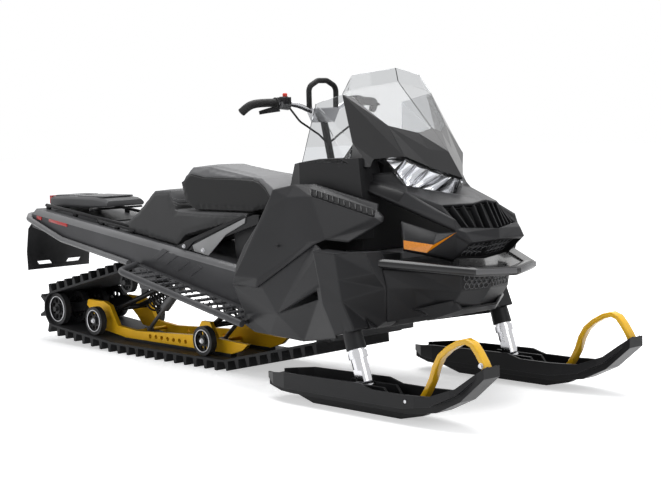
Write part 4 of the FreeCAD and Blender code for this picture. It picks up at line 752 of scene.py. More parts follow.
def puff(pad, pressure, cap):
    """Fills a pad with air for some frames and holds every point near its start."""
    frames = 20
    starts = [vertex.co.copy() for vertex in pad.data.vertices]
    alone(pad)
    cloth = pad.modifiers.new("air", "CLOTH")
    cloth.settings.use_pressure = True
    cloth.settings.uniform_pressure_force = pressure
    cloth.settings.quality = 4
    cloth.settings.tension_stiffness = 30.0
    cloth.settings.compression_stiffness = 30.0
    cloth.settings.bending_stiffness = 12.0
    cloth.settings.effector_weights.gravity = 0.0
    cloth.point_cache.frame_start = 1
    cloth.point_cache.frame_end = frames
    for number in range(1, frames + 1):
        scene.frame_set(number)
    bpy.ops.object.modifier_apply(modifier=cloth.name)
    scene.frame_set(1)
    for vertex, start in zip(pad.data.vertices, starts):
        step = vertex.co - start
        if step.length > cap:
            vertex.co = start + step.normalized() * cap


def between_points(value, points):
    """The height of a line through (place, height) points, at a place."""
    for (a, low), (b, high) in zip(points, points[1:]):
        if value <= b:
            return low + (high - low) * max(value - a, 0.0) / (b - a)
    return points[-1][1]


def press_seam(pad, line, depth, width, test):
    """Pushes the points near a seam inwards; the seam is a height along the machine."""
    for vertex in pad.data.vertices:
        if test(vertex.co):
            away = abs(vertex.co.z - between_points(vertex.co.x, line))
            if away < width:
                vertex.co -= vertex.normal * depth * (1.0 - (away / width) ** 2)


# %% [markdown]
# The cover's colour follows the seam: grey above a line that falls towards the nose, and
# nearly black below it. A ramp along X holds the line's height, and a comparison with Z
# gives the mask. Two rows of stitches run beside it, as dashes in the bump.

# %% Two-tone cover
seat_line = [(-0.430, 0.775), (-0.400, 0.800), (-0.350, 0.826), (-0.313, 0.822), (-0.250, 0.813),
             (0.063, 0.811), (0.113, 0.800), (0.156, 0.776), (0.192, 0.744), (0.240, 0.700)]


def sewn_cover(name, line, above, below, low=0.50, span=0.45):
    """Coated seat cloth in two colours, parted by a line with stitches beside it."""
    made = Finish(name)
    x = made.node("ShaderNodeSeparateXYZ", out="X", Vector=made.place)
    z = Wire(made, x.socket.node.outputs["Z"])
    start, end = line[0][0], line[-1][0]
    stops = [((a - start) / (end - start), (b - low) / span) for a, b in line]
    height = made.ramp(made.between(x, start, end), stops) * span + low
    over = z - height
    mask = made.between(over, -0.0008, 0.0008)
    seam_gap = made.maths("ABSOLUTE", over, 0.0)
    groove = made.between(seam_gap, 0.0, 0.0022)
    row_gap = made.maths("ABSOLUTE", seam_gap - 0.006, 0.0)
    row = made.between(row_gap, 0.0012, 0.0)
    dash = made.between(made.maths("SINE", x * 1250.0, 0.0), -0.5, 0.0)
    cells = made.cells(330.0, "DISTANCE_TO_EDGE")
    patches = made.noise(6.0, 4.0)
    tone = made.blend(mask, below, above)
    soil = made.ramp(patches, [(0.30, 0.82), (0.70, 1.0)])
    tint = made.node("ShaderNodeVectorMath", {"operation": "MULTIPLY"}, out="Vector")
    made.fill(tint.socket.node.inputs[0], tone)
    made.fill(tint.socket.node.inputs[1], soil)
    thread = made.blend(row * dash * 0.6, tint, (0.16, 0.16, 0.16))
    made.set(Base_Color=thread, Roughness=patches * 0.14 + 0.46, Sheen_Weight=0.05)
    made.bump(cells * 0.12 + groove * 1.4 + row * dash * 0.5, 0.8, 0.0012)
    return made.material


seat_two_tone = sewn_cover("seat_two_tone", seat_line, (0.150, 0.150, 0.153), (0.009, 0.009, 0.0095))

# %% Seat
seat = pad_from("seat", "seat_pad", 0.006, 0.004)
puff(seat, 2.0, 0.005)
modify(seat, "SUBSURF", levels=1, render_levels=1)
press_seam(seat, seat_line, 0.0028, 0.007, lambda spot: spot.z > 0.70)
settle(seat, "seat_pad", seat_two_tone, "chassis", 60.0)
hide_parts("seat")
print("seat pad faces:", len(seat.data.polygons))

# %% [markdown]
# Behind and under the seat lies a wide, low pad that covers the storage room. Its top is
# nearly flat, its cover is darker below a seam line, and it slopes off behind. It is made
# like the seat, with less air, because its foam is thin and firm.

# %% Storage pad
base_line = [(-0.770, 0.596), (-0.700, 0.640), (-0.590, 0.735), (-0.480, 0.740), (-0.400, 0.655),
             (0.080, 0.652)]
base_cover = sewn_cover("base_cover", base_line, (0.062, 0.062, 0.064), (0.040, 0.040, 0.041))
base = pad_from("seat_base", "storage_pad", 0.006, 0.003)
puff(base, 1.5, 0.004)
settle(base, "storage_pad", base_cover, "chassis", 60.0)
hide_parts("seat_base")
print("storage pad faces:", len(base.data.polygons))

# %% [markdown]
# Air gets to the engine through honeycomb: a plate of six-sided cells with thin walls. One
# cell is a ring, made from a six-sided disc whose middle is inset and deleted, and pushed
# to a few millimetres deep. Rows of copies, each shifted by half a cell, make the plate.

# %% Honeycomb


def hex_cell(size, wall, depth):
    """One open cell of honeycomb, lying in the XY plane."""
    cell = primitive("circle", vertices=6, radius=size, fill_type="NGON")
    pick(cell, lambda face: True)
    bpy.ops.mesh.inset(thickness=wall)
    bpy.ops.mesh.delete(type="FACE")
    bpy.ops.mesh.select_all(action="SELECT")
    push(-depth)
    return alone(cell)


def honeycomb(name, corners, depth, wall):
    """Cells spread over a four-cornered patch: its corners run left to right, top row first."""
    rows, columns = 3, 5
    top_left, top_right, low_left, low_right = (Vector(spot) for spot in corners)
    across = ((top_right - top_left) + (low_right - low_left)) * 0.5
    size = across.length / (columns + 0.5) / 1.732
    normal = (top_right - top_left).cross(low_left - top_left).normalized()
    if normal.x < 0:
        normal = -normal
    down = (low_left - top_left).normalized()
    sideways = down.cross(normal).normalized()
    turn = Matrix((sideways, normal.cross(sideways), normal)).transposed().to_4x4()
    turn = turn @ Matrix.Rotation(math.pi / 6, 4, "Z")
    turns = []
    for row in range(rows):
        for column in range(columns):
            u = (column + 0.5 + 0.5 * (row % 2)) / (columns + 0.5)
            v = (row + 0.5) / rows
            spot = top_left.lerp(top_right, u).lerp(low_left.lerp(low_right, u), v)
            turns.append(Matrix.Translation(spot) @ turn)
    comb = repeat(hex_cell(size * 1.04, size * wall, depth), turns)
    settle(comb, name, comb_grey_painted_light, "chassis")
    print(name, rows * columns)


# %% [markdown]
# The hot air leaves through a strip of louvres along the top edge of each side panel. One
# louvre is a thin slat, thicker at its root. A dozen of them stand in a row, each set
# aslant, on a near-black strip that is painted shade for the vent's openings.

# %% Louvres


def slat(length):
    """A leaning slat: a bar whose top edge is drawn in and pushed back."""
    bar = cuboid((0.008, length, 0.009))
    pick(bar, lambda face: face.normal.z > 0.9)
    bpy.ops.transform.resize(value=(0.45, 0.94, 1.0))
    bpy.ops.transform.translate(value=(-0.003, 0.0, 0.0))
    alone(bar)
    modify(bar, "BEVEL", width=0.0006, segments=2)
    return bar


slats = 12
slant = Matrix.Rotation(0.75, 4, "Z")
mirror_y = Matrix.Scale(-1.0, 4, (0.0, 1.0, 0.0))
vent_top = (Vector((0.655, -0.3225, 0.7925)), Vector((0.965, -0.2975, 0.7205)))
vent_low = (Vector((0.690, -0.3505, 0.7655)), Vector((0.978, -0.3245, 0.6965)))
vent_turns = []
for index in range(slats):
    share = index / (slats - 1)
    above = vent_top[0].lerp(vent_top[1], share)
    below = vent_low[0].lerp(vent_low[1], share)
    run = (vent_top[1] - vent_top[0]).normalized()
    out = (below - above).normalized().cross(run).normalized()
    if out.z < 0.0:
        out = -out
    turn = Matrix((run, out.cross(run).normalized(), out)).transposed().to_4x4()
    place = Matrix.Translation((above + below) * 0.5 + out * 0.0025) @ turn @ slant
    vent_turns += [place, mirror_y @ place]
louvres = facing_out(repeat(slat(0.036), vent_turns))
settle(louvres, "vent_louvres", band_black, "chassis")
print("louvres:", len(vent_turns))

# %% [markdown]
# The two dampers under the tunnel carry coil springs. A spring is a small circle that a
# Screw modifier turns and lifts. Each follows the line of its damper.

# %% Coil springs


def spring(start, end, radius, wire, turns):
    """A coil between two places, round the line that joins them."""
    start, end = Vector(start), Vector(end)
    ring = primitive("circle", vertices=10, radius=wire, location=(radius, 0.0, 0.0),
                     rotation=(math.pi / 2, 0.0, 0.0))
    bpy.ops.object.transform_apply(location=True, rotation=True, scale=True)
    modify(ring, "SCREW", axis="Z", screw_offset=(end - start).length / turns, iterations=turns,
           steps=20, render_steps=20, angle=2 * math.pi, use_normal_calculate=True)
    pick(ring, lambda edge: False, "edges")
    bpy.ops.mesh.select_non_manifold()
    bpy.ops.mesh.edge_face_add()
    alone(ring)
    ring.matrix_world = Matrix.Translation(start) @ frame_to(end - start)
    return ring


# %% [markdown]
# The throttle is a thumb paddle under the right grip, and the brake is a long lever before
# the left one. Both grow from a switch block on the bar. A lever is a narrow bar, bent by
# moving its outer faces in steps.

# %% Switch blocks and levers


def lever(start, end, wide, thick, bend):
    """A flat lever from a place to another, bowed by a bend and rounded at its tip."""
    start, end = Vector(start), Vector(end)
    run = end - start
    bar = cuboid((thick, wide, run.length))
    pick(bar, lambda face: True)
    bpy.ops.mesh.subdivide(number_cuts=5)
    alone(bar)
    for vertex in bar.data.vertices:
        share = vertex.co.z / run.length + 0.5
        vertex.co.x += bend * 4.0 * share * (1.0 - share)
        vertex.co.y *= 1.0 - 0.45 * share
    modify(bar, "BEVEL", width=thick * 0.3, segments=2, limit_method="ANGLE")
    bar.matrix_world = Matrix.Translation((start + end) * 0.5) @ frame_to(run)
    return bar


def rounded_block(place, size, turn, bevel):
    """A block with rounded edges, turned with what it sits on."""
    block = cuboid(size)
    pick(block, lambda face: face.normal.z > 0.9)
    bpy.ops.mesh.inset(thickness=bevel * 1.6)
    push(bevel * 0.5)
    alone(block)
    modify(block, "BEVEL", width=bevel, segments=3, limit_method="ANGLE", angle_limit=0.6)
    block.matrix_world = Matrix.Translation(place) @ turn
    return block


bar_run = Vector((0.011, 0.109, -0.011)).normalized()
bar_angle = math.atan2(bar_run.y, bar_run.x) - math.pi / 2
right_turn = frame_to((0.0, 0.0, 1.0)) @ Matrix.Rotation(bar_angle, 4, "Z")
pods = []
for side in (1, -1):
    turn = right_turn if side > 0 else right_turn.inverted()
    pods.append(rounded_block((0.370, -0.196 * side, 1.128), (0.050, 0.036, 0.026), turn, 0.005))
    pods.append(rounded_block((0.352, -0.196 * side, 1.112), (0.034, 0.038, 0.034), turn, 0.005))
pods = join_pieces(pods)
settle(pods, "switch_pods", trim_plastic, "steering")

button = primitive("cylinder", vertices=28, radius=0.0095, depth=0.014,
                   location=(0.372, -0.192, 1.148))
pick(button, lambda face: face.normal.z > 0.9)
bpy.ops.mesh.inset(thickness=0.002)
push(0.002)
alone(button)
modify(button, "BEVEL", width=0.001, segments=2, limit_method="ANGLE", angle_limit=0.6)
settle(button, "stop_button", red_button, "steering")

throttle = lever((0.352, -0.205, 1.098), (0.322, -0.285, 1.082), 0.026, 0.005, -0.010)
brake = lever((0.395, 0.200, 1.112), (0.372, 0.335, 1.104), 0.018, 0.006, 0.012)
brake_root = rounded_block((0.388, 0.196, 1.112), (0.036, 0.034, 0.026), upright, 0.004)
levers = join_pieces([throttle, brake, brake_root])
settle(levers, "hand_levers", black_coat, "steering")
print("hand controls made")

# %% [markdown]
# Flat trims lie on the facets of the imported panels. Such a trim starts as a disc with as
# many corners as the facet has, is moved onto them, is drawn in from the edges by an inset,
# and gets its thickness from a Solidify modifier.

# %% Trims on facets


def facet_trim(corners, inset, lift, outward):
    """A thin plate on a flat facet, given by its corners in millimetres."""
    trim = primitive("circle", vertices=len(corners), radius=0.1, fill_type="NGON")
    for vertex, spot in zip(trim.data.vertices, corners):
        vertex.co = Vector(spot) / 1000.0
    trim.data.update()
    pick(trim, lambda face: True)
    bpy.ops.mesh.inset(thickness=inset)
    bpy.ops.mesh.select_all(action="INVERT")
    bpy.ops.mesh.delete(type="FACE")
    alone(trim)
    way = 1.0 if trim.data.polygons[0].normal.dot(Vector(outward)) > 0.0 else -1.0
    modify(trim, "SOLIDIFY", thickness=lift, offset=way)
    facing_out(trim)
    modify(trim, "BEVEL", width=min(lift * 0.4, 0.001), segments=2, limit_method="ANGLE", angle_limit=0.8)
    return trim


def twin_trims(name, facets, inset, lift, outward, material):
    """The same trims on the right side and, mirrored, on the left."""
    made = []
    for facet in facets:
        for sign in (1, -1):
            corners = [(x, y * sign, z) for x, y, z in facet]
            made.append(facet_trim(corners, inset, lift, (outward[0], outward[1] * sign, outward[2])))
    settle(join_pieces(made), name, material, "chassis")


twin_trims("hood_bands", [[(736, -250, 830), (1000, -208, 737), (1010, -178, 779), (771, -212, 845)]],
           0.006, 0.0012, (0.2, -0.7, 0.7), band_black)
# The beds under the louvres are near black, as painted shade in the vent's openings.
twin_trims("vent_shade_beds", [[(647, -322, 793), (971, -296, 719), (985, -326, 694), (683, -352, 765)]],
           0.003, 0.0036, (0.2, -0.7, 0.7), vent_shade_black)
# A black plate in each cheek is painted shade for the deep shadow there.
twin_trims("cheek_shade_plates", [[(1080, -270, 612), (1185, -225, 597), (1173, -190, 636), (1031, -230, 676)]],
           0.005, 0.0012, (0.4, -0.9, 0.2), trim_plastic)
twin_trims("chin_beds", [[(1232, -136, 484), (1262, 0, 479), (1252, 0, 425), (1226, -130, 422)]],
           0.004, 0.0012, (1.0, -0.1, 0.0), trim_plastic)
print("trims laid")

# %% Lower grille and chin mesh
for tag, sign in sides:
    y, middle = -0.128 * sign, -0.004 * sign
    corners = [(1.2575, y, 0.5965), (1.2615, 0.0, 0.5985), (1.1985, y, 0.5500), (1.2085, 0.0, 0.5380)]
    honeycomb(f"nose_comb_{tag}", corners, 0.008, 0.09)
    corners = [(1.2375, y * 0.98, 0.4775), (1.2645, middle, 0.4735),
               (1.2325, y * 0.92, 0.4330), (1.2555, middle, 0.4330)]
    honeycomb(f"chin_comb_{tag}", corners, 0.005, 0.12)

# %% [markdown]
# The dampers stand between the tunnel and the slide rails. Their wide bodies are packed
# already, so each coil starts at the body's upper end and stops above the lower eye.

# %% Springs on the dampers
coils = []
for upper, lower in (((-0.030, 0.0, 0.316), (-0.300, 0.0, 0.188)),
                     ((-0.560, 0.0, 0.340), (-0.850, 0.0, 0.188))):
    upper, lower = Vector(upper), Vector(lower)
    run = lower - upper
    coils.append(spring(upper + run * 0.16, upper + run * 0.86, 0.036, 0.0042, 9))
settle(join_pieces(coils), "damper_springs", spring_coat, "chassis", 60.0)

# %% [markdown]
# Bolts hold nearly everything here. Their places are read from the photograph and set on
# the surface that they clamp, and the list for the right side is mirrored for the left.

# %% Bolts
side = (0.0, -1.0, 0.0)
bolts("bracket_bolts", "chassis", both([
    ((-0.302, -0.1985, 0.519), side, 0.018),
    ((-0.172, -0.1975, 0.508), side, 0.020),
]))
bolts("panel_bolts", "chassis", both([
    ((0.300, -0.3735, 0.420), side, 0.013),
    ((0.520, -0.3845, 0.575), side, 0.013),
    ((0.700, -0.3905, 0.360), side, 0.013),
]), trim_plastic)
wheel_y = 0.1855
wheel_spots = [(-1.341, 0.164, 0.024, 0.060), (-1.034, 0.131, 0.022, 0.050), (-0.217, 0.113, 0.022, 0.048)]
bolts("axle_bolts", "chassis", both([((x, -wheel_y, z), side, size) for x, z, size, _ in wheel_spots]))
for tag, sign in sides:
    out = (0.0, -1.0 * sign, 0.0)
    bolts(f"ski_bolts_{tag}", f"ski_{tag}", [((1.006, (-ski_y - 0.0375) * sign, 0.092), out, 0.026)])

# %% [markdown]
# Each wheel in the track is moulded round a steel rim. The rim shows as a thin grey ring
# near the rubber, on the wheel's outer face.

# %% Wheel rims
rings = []
for x, z, _, radius in wheel_spots:
    for sign in (1, -1):
        rings.append(primitive("torus", major_radius=radius, minor_radius=0.0022, major_segments=48,
                               minor_segments=8, location=(x, -wheel_y * sign, z),
                               rotation=(math.pi / 2, 0.0, 0.0)))
settle(join_pieces(rings), "wheel_rings", bolt_metal, "chassis", 60.0)

# %% [markdown]
# The rider's boots need hold, so every rung of the running boards has upright teeth. A
# tooth is a small wedge, pinched at its top.

# %% Board teeth
board_rear, board_front = (-0.519, 0.416), (0.302, 0.256)


def on_line(x, start, end):
    """The value at x of the line through two (x, value) points."""
    return start[1] + (x - start[0]) * (end[1] - start[1]) / (end[0] - start[0])


tooth = cuboid((0.012, 0.004, 0.010))
pick(tooth, lambda face: face.normal.z > 0.9)
bpy.ops.transform.resize(value=(0.35, 0.8, 1.0))
alone(tooth)
teeth = []
rungs = 16
for index in range(rungs):
    x = board_rear[0] + (board_front[0] - board_rear[0]) / rungs * (index + 0.5) + 0.008
    height = on_line(x, board_rear, board_front) + 0.004
    for across in (0.268, 0.300, 0.332, 0.364):
        for sign in (1, -1):
            teeth.append(Matrix.Translation((x, across * sign, height)))
settle(repeat(tooth, teeth), "board_teeth", tunnel_coat, "chassis")
print("teeth:", len(teeth))

# %% [markdown]
# Between the low box and the seat a black rack stands on the tunnel: two long bars on short
# feet and two cross bars. Red reflectors lie along the tunnel's edge near the tail.

# %% Rack and reflectors


def tunnel_height(x):
    """The height of the tunnel's top at a place along it."""
    return on_line(x, (-1.470, 0.648), (0.650, 0.385))


def bar_between(start, end, width, height):
    """A rectangular bar with rounded edges between two places, pinched a little at its top."""
    start, end = Vector(start), Vector(end)
    run = end - start
    bar = cuboid((height, width, run.length))
    pick(bar, lambda face: face.normal.x > 0.9)
    bpy.ops.transform.resize(value=(1.0, 0.8, 0.99))
    alone(bar)
    modify(bar, "BEVEL", width=min(width, height) * 0.2, segments=2, limit_method="ANGLE",
           angle_limit=0.6)
    along = run.normalized()
    up = Vector((0.0, 0.0, 1.0)) if abs(along.z) < 0.8 else Vector((1.0, 0.0, 0.0))
    sideways = along.cross(up).normalized()
    up = sideways.cross(along).normalized()
    turn = Matrix((up, -sideways, along)).transposed().to_4x4()
    bar.matrix_world = Matrix.Translation((start + end) * 0.5) @ turn
    return bar


rack = []
lift = 0.016
for y in (-0.165, 0.165):
    rear, front = [(x, y, tunnel_height(x) + lift) for x in (-0.985, -0.700)]
    rack.append(bar_between(rear, front, 0.016, 0.010))
    for x in (-0.960, -0.840, -0.725):
        top = tunnel_height(x)
        rack.append(bar_between((x, y, top - 0.001), (x, y, top + lift), 0.020, 0.024))
for x in (-0.950, -0.870, -0.790, -0.725):
    top = tunnel_height(x) + lift
    rack.append(bar_between((x, -0.165, top), (x, 0.165, top), 0.014, 0.008))
settle(facing_out(join_pieces(rack)), "tunnel_rack", black_coat, "chassis")

reflectors = []
for sign in (1, -1):
    y = -0.2235 * sign
    reflectors.append(bar_between((-1.320, y, 0.598), (-1.165, y, 0.5785), 0.004, 0.014))
    reflectors.append(bar_between((-1.425, y, 0.608), (-1.385, y, 0.603), 0.004, 0.016))
settle(facing_out(join_pieces(reflectors)), "tunnel_reflectors", red_lens, "chassis")
print("rack bars:", len(rack))

# %% [markdown]
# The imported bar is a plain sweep. Its dressed form runs smoother, ends in hooks, and sits
# in a cast riser. A tube is made from a curve with a round bevel, turned into a mesh.

# %% Handlebar, riser and grips


def tube(points, radius, resolution):
    """A smooth round tube through control points."""
    alone()
    bpy.ops.curve.primitive_nurbs_path_add()
    line = bpy.context.object
    line.data.splines.clear()
    spline = line.data.splines.new("NURBS")
    spline.points.add(len(points) - 1)
    for point, spot in zip(spline.points, points):
        point.co = (*spot, 1.0)
    spline.order_u = 3
    spline.use_endpoint_u = True
    line.data.resolution_u = resolution
    line.data.bevel_depth = radius
    line.data.bevel_resolution = 6
    line.data.use_fill_caps = True
    line.matrix_world = Matrix.Identity(4)
    alone(line)
    bpy.ops.object.convert(target="MESH")
    return facing_out(bpy.context.object)


def mirrored(points):
    """The same points on the other side of the machine."""
    return [(x, -y, z) for x, y, z in points]


bar_right = [(0.384, -0.060, 1.081), (0.376, -0.118, 1.106), (0.366, -0.170, 1.116),
             (0.360, -0.240, 1.120), (0.347, -0.316, 1.119), (0.335, -0.342, 1.112),
             (0.318, -0.354, 1.098), (0.306, -0.360, 1.087)]
handlebar = tube(bar_right[::-1] + [(0.386, 0.0, 1.079)] + mirrored(bar_right), 0.0108, 10)
riser = rounded_block((0.384, 0.0, 1.066), (0.046, 0.150, 0.056), upright, 0.005)
alone(riser)
bpy.ops.object.transform_apply(location=True, rotation=True, scale=True)
for vertex in riser.data.vertices:
    share = (1.094 - vertex.co.z) / 0.056
    vertex.co.y *= 1.0 - 0.42 * max(share, 0.0)
settle(handlebar, "bar_tube", chrome, "steering", 60.0)
settle(riser, "bar_riser", riser_metal, "steering")
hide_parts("handlebar")
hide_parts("handlebar")

grip_right = [(0.3608, -0.236, 1.1202), (0.357, -0.262, 1.1204), (0.347, -0.316, 1.119),
              (0.335, -0.342, 1.112), (0.318, -0.354, 1.098), (0.304, -0.361, 1.085)]
grips = [tube(points, 0.0165, 8) for points in (grip_right, mirrored(grip_right))]
for sign in (1, -1):
    collar = primitive("cylinder", vertices=32, radius=0.021, depth=0.006)
    pick(collar, lambda face: abs(face.normal.z) > 0.9)
    bpy.ops.mesh.bevel(offset=0.0015, segments=2)
    alone(collar)
    place = Matrix.Translation((0.3612, -0.234 * sign, 1.1200))
    collar.matrix_world = place @ frame_to((0.03, 1.0 * sign, 0.0))
    grips.append(collar)
grips = join_pieces(grips)
settle(grips, "grip_rubbers", grip_rubber, "steering", 50.0)
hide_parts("grips")
print("bar made")

# %% [markdown]
# The bumper is a moulded bar of upright section round the nose, pointed in its middle, with
# a deck behind it. In the photograph it stands further out than its packed form, so it is
# drawn again: one end of the section is set first, and extruded to every next place.

# %% Front bumper


def drawn_bar(rings):
    """A bar whose section is given, corner by corner, at every place along it."""
    bar = primitive("circle", vertices=len(rings[0]), radius=1.0, fill_type="NGON")
    for vertex, spot in zip(bar.data.vertices, rings[0]):
        vertex.co = spot
    newest = list(range(len(rings[0])))
    for before, after in zip(rings, rings[1:]):
        pick(bar, lambda vertex: vertex.index in newest, "vertices")
        push(0.0)
        bpy.ops.object.mode_set(mode="OBJECT")
        newest = [vertex.index for vertex in bar.data.vertices if vertex.select]
        for index in newest:
            vertex = bar.data.vertices[index]
            nearest = min(range(len(before)), key=lambda corner: (Vector(before[corner]) - vertex.co).length)
            vertex.co = after[nearest]
    alone(bar)
    return bar


def bumper_ring(x, y, top, low, inward):
    """The bar's section at a place: chamfered above, with a lip below."""
    inx, iny = inward
    steps = [(0.046, top - 0.004), (0.013, top), (0.0, top - 0.009), (0.0, low + 0.008), (0.009, low),
             (0.046, low)]
    return [(x + inx * step, y + iny * step, z) for step, z in steps]


bumper_side = [
    (0.986, 0.399, 0.556, 0.523, (-0.20, -1.0)),
    (1.060, 0.352, 0.549, 0.515, (-0.54, -0.84)),
    (1.326, 0.172, 0.519, 0.485, (-0.80, -0.62)),
    (1.336, 0.150, 0.517, 0.483, (-0.90, -0.42)),
    (1.386, 0.010, 0.512, 0.479, (-1.00, -0.04)),
]
bumper_rings = [bumper_ring(x, -y, top, low, (a, -b)) for x, y, top, low, (a, b) in bumper_side]
bumper_rings += [bumper_ring(*row) for row in reversed(bumper_side)]
bumper_bar = facing_out(drawn_bar(bumper_rings))
modify(bumper_bar, "BEVEL", width=0.0022, segments=2, limit_method="ANGLE", angle_limit=0.35)

deck_top = [(1.010, 0.352, 0.537), (1.300, 0.160, 0.508), (1.345, 0.0, 0.503)]
deck_rings = []
for x, y, z in deck_top:
    width = max(y, 0.010)
    deck_rings.append([(x, -width, z), (x, width, z), (x, width, z - 0.004), (x, -width, z - 0.004)])
bumper_deck = facing_out(drawn_bar(deck_rings))
bumper = join_pieces([bumper_bar, bumper_deck])
settle(bumper, "bumper_bar", bumper_black, "chassis")
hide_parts("front_bumper")
print("bumper reaches", round(max(vertex.co.x for vertex in bumper.data.vertices), 3))

# %% [markdown]
# Behind the clear cover each lamp is a bright shell, pressed in tall scallops that spread
# the beam. A flat net of faces is hung between the upper and the lower edge of the cover and
# pushed back by a row of half waves, so that upright ridges are left between the hollows.

# %% Lamp reflectors


def along_line(points, share):
    """A place on a line of points, by its share of the number of runs."""
    at = min(share, 0.9999) * (len(points) - 1)
    index = int(at)
    return Vector(points[index]).lerp(Vector(points[index + 1]), at - index)


def scalloped(top, low, sign, hollows, depth, inset):
    """A bright shell between two edges, pushed back in upright hollows."""
    net = primitive("grid", x_subdivisions=hollows * 12, y_subdivisions=12, size=1.0)
    for vertex in net.data.vertices:
        u, v = vertex.co.x + 0.5, vertex.co.y + 0.5
        spot = along_line(low, u).lerp(along_line(top, u), v)
        wave = abs(math.sin(math.pi * hollows * u)) ** 0.6
        wave *= math.sin(math.pi * (0.08 + 0.84 * v)) ** 0.5
        spot += Vector((-0.84, 0.30, -0.42)) * (inset + depth * wave)
        vertex.co = (spot.x, spot.y * sign, spot.z)
    modify(net, "SOLIDIFY", thickness=0.0015, offset=0.0)
    return facing_out(net)


cover_top = [(0.984, -0.149, 0.896), (1.023, -0.104, 0.868), (1.083, -0.030, 0.833), (1.106, -0.006, 0.822)]
cover_low = [(0.963, -0.172, 0.856), (1.000, -0.158, 0.806), (1.028, -0.108, 0.792), (1.085, -0.006, 0.762)]
shells = []
for sign in (1, -1):
    shells.append(scalloped(cover_top, cover_low, sign, 5, 0.018, 0.006))
    corners = [(888, -169 * sign, 899), (952, -178 * sign, 858), (980, -151 * sign, 892)]
    shells.append(facet_trim(corners, 0.004, 0.001, (0.5, -0.8 * sign, 0.2)))
settle(join_pieces(shells), "lamp_shells", lamp_chrome, "chassis", 40.0)
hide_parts("headlamps")
print("lamp shells made")

# %% [markdown]
# Between the pads and the body stands the fuel tank's dark side. It closes the view under
# the seat, with one crease along it.

# %% Tank sides
tank_half = 0.150
tank = cuboid((0.360, 2 * tank_half, 0.170), (0.170, 0.0, 0.560))
pick(tank, lambda face: abs(face.normal.y) > 0.9)
bpy.ops.mesh.subdivide(number_cuts=3)
bpy.ops.mesh.inset(thickness=0.014)
alone(tank)
for vertex in tank.data.vertices:
    if abs(abs(vertex.co.y) - tank_half) < 0.001 and 0.490 < vertex.co.z < 0.630:
        vertex.co.y *= 1.07 - 0.5 * abs(vertex.co.z - 0.575)
modify(tank, "BEVEL", width=0.004, segments=2, limit_method="ANGLE", angle_limit=0.5)
settle(facing_out(tank), "tank_sides", trim_plastic, "chassis")
print("tank made")

# %% [markdown]
# The seat's bracket is two bars on one foot: a black one above, and a light grey plate
# below it that narrows to the front. Both are plates with a small bevel, cut to outline.

# %% Bracket plates


def outline_plate(corners, y, thick, bevel=0.002):
    """An upright plate cut to an outline of (x, z) corners in millimetres, lying at a depth y."""
    plate = primitive("circle", vertices=len(corners), radius=0.1, fill_type="NGON")
    for vertex, (x, z) in zip(plate.data.vertices, corners):
        vertex.co = (x / 1000.0, y, z / 1000.0)
    plate.data.update()
    modify(plate, "SOLIDIFY", thickness=thick, offset=0.0)
    facing_out(plate)
    modify(plate, "BEVEL", width=bevel, segments=2, limit_method="ANGLE", angle_limit=0.5)
    return plate


upper_outline = [(-352, 503), (-296, 541), (103, 668), (120, 660), (-238, 539), (-285, 503)]
lower_outline = [(-236, 500), (-246, 526), (112, 656), (106, 633), (-20, 580), (-139, 486)]
for name, outline, material, slot, y in (
    ("bracket_bars", upper_outline, black_coat, "black_metal", 0.1955),
    ("bracket_plates", lower_outline, light_coat, "grey_metal", 0.1945),
):
    pair = [outline_plate(outline, -y * sign, 0.006) for sign in (1, -1)]
    settle(join_pieces(pair), name, material, "chassis")
print("bracket plates made")

# %% [markdown]
# Each strut leaves its housing through a black sleeve. Below it the tube is bright. The
# sleeve is a short pipe with a rolled lip at its lower end.

# %% Strut sleeves


def pipe(start, end, outer, inner, lip=0.0):
    """An open pipe between two places, with a wider ring at its far end."""
    start, end = Vector(start), Vector(end)
    run = end - start
    corners = 48
    wall = primitive("circle", vertices=corners, radius=outer, fill_type="NOTHING")
    for height, radius in ((run.length * 0.86, outer), (run.length * 0.88, outer + lip),
                           (run.length, outer + lip), (run.length, inner), (0.0, inner)):
        pick(wall, lambda vertex: True, "vertices")
        newest = [vertex.index for vertex in wall.data.vertices][-corners:]
        bpy.ops.object.mode_set(mode="OBJECT")
        for vertex in wall.data.vertices:
            vertex.select = vertex.index in newest
        bpy.ops.object.mode_set(mode="EDIT")
        push(0.0)
        bpy.ops.object.mode_set(mode="OBJECT")
        for vertex in wall.data.vertices:
            if vertex.select:
                scale = radius / math.hypot(vertex.co.x, vertex.co.y)
                vertex.co = (vertex.co.x * scale, vertex.co.y * scale, height)
    pick(wall, lambda vertex: vertex.co.z < 0.0001, "vertices")
    bpy.ops.mesh.bridge_edge_loops()
    alone(wall)
    wall.matrix_world = Matrix.Translation(start) @ frame_to(run)
    return facing_out(wall)


def on_strut(height, sign):
    """The middle of a strut at a height."""
    return (on_line(height, (0.092, 1.006), (0.560, 0.852)), -ski_y * sign, height)


sleeves = [pipe(on_strut(0.300, sign), on_strut(0.212, sign), 0.0345, 0.0305, 0.003)
           for _, sign in sides]
settle(join_pieces(sleeves), "strut_sleeves", trim_plastic, "chassis", 40.0)
print("sleeves made")

# %% [markdown]
# A ski's top has upright ribs that stiffen it. Two rows of them run along the floor between
# the ski's walls, and short ones cross it.

# %% Ski ribs
for tag, sign in sides:
    y = -ski_y * sign
    ribs = []
    for across in (y - 0.045, y + 0.045):
        for rear, front in ((0.640, 0.930), (1.085, 1.240)):
            ribs.append(bar_between((rear, across, 0.062), (front, across, 0.062), 0.010, 0.016))
    for x in (0.660, 0.720, 0.780, 0.840, 0.900, 1.110, 1.160, 1.210):
        ribs.append(bar_between((x, y - 0.050, 0.061), (x, y + 0.050, 0.061), 0.008, 0.014))
    settle(facing_out(join_pieces(ribs)), f"ski_ribs_{tag}", ski_plastic, f"ski_{tag}")
print("ski ribs made")

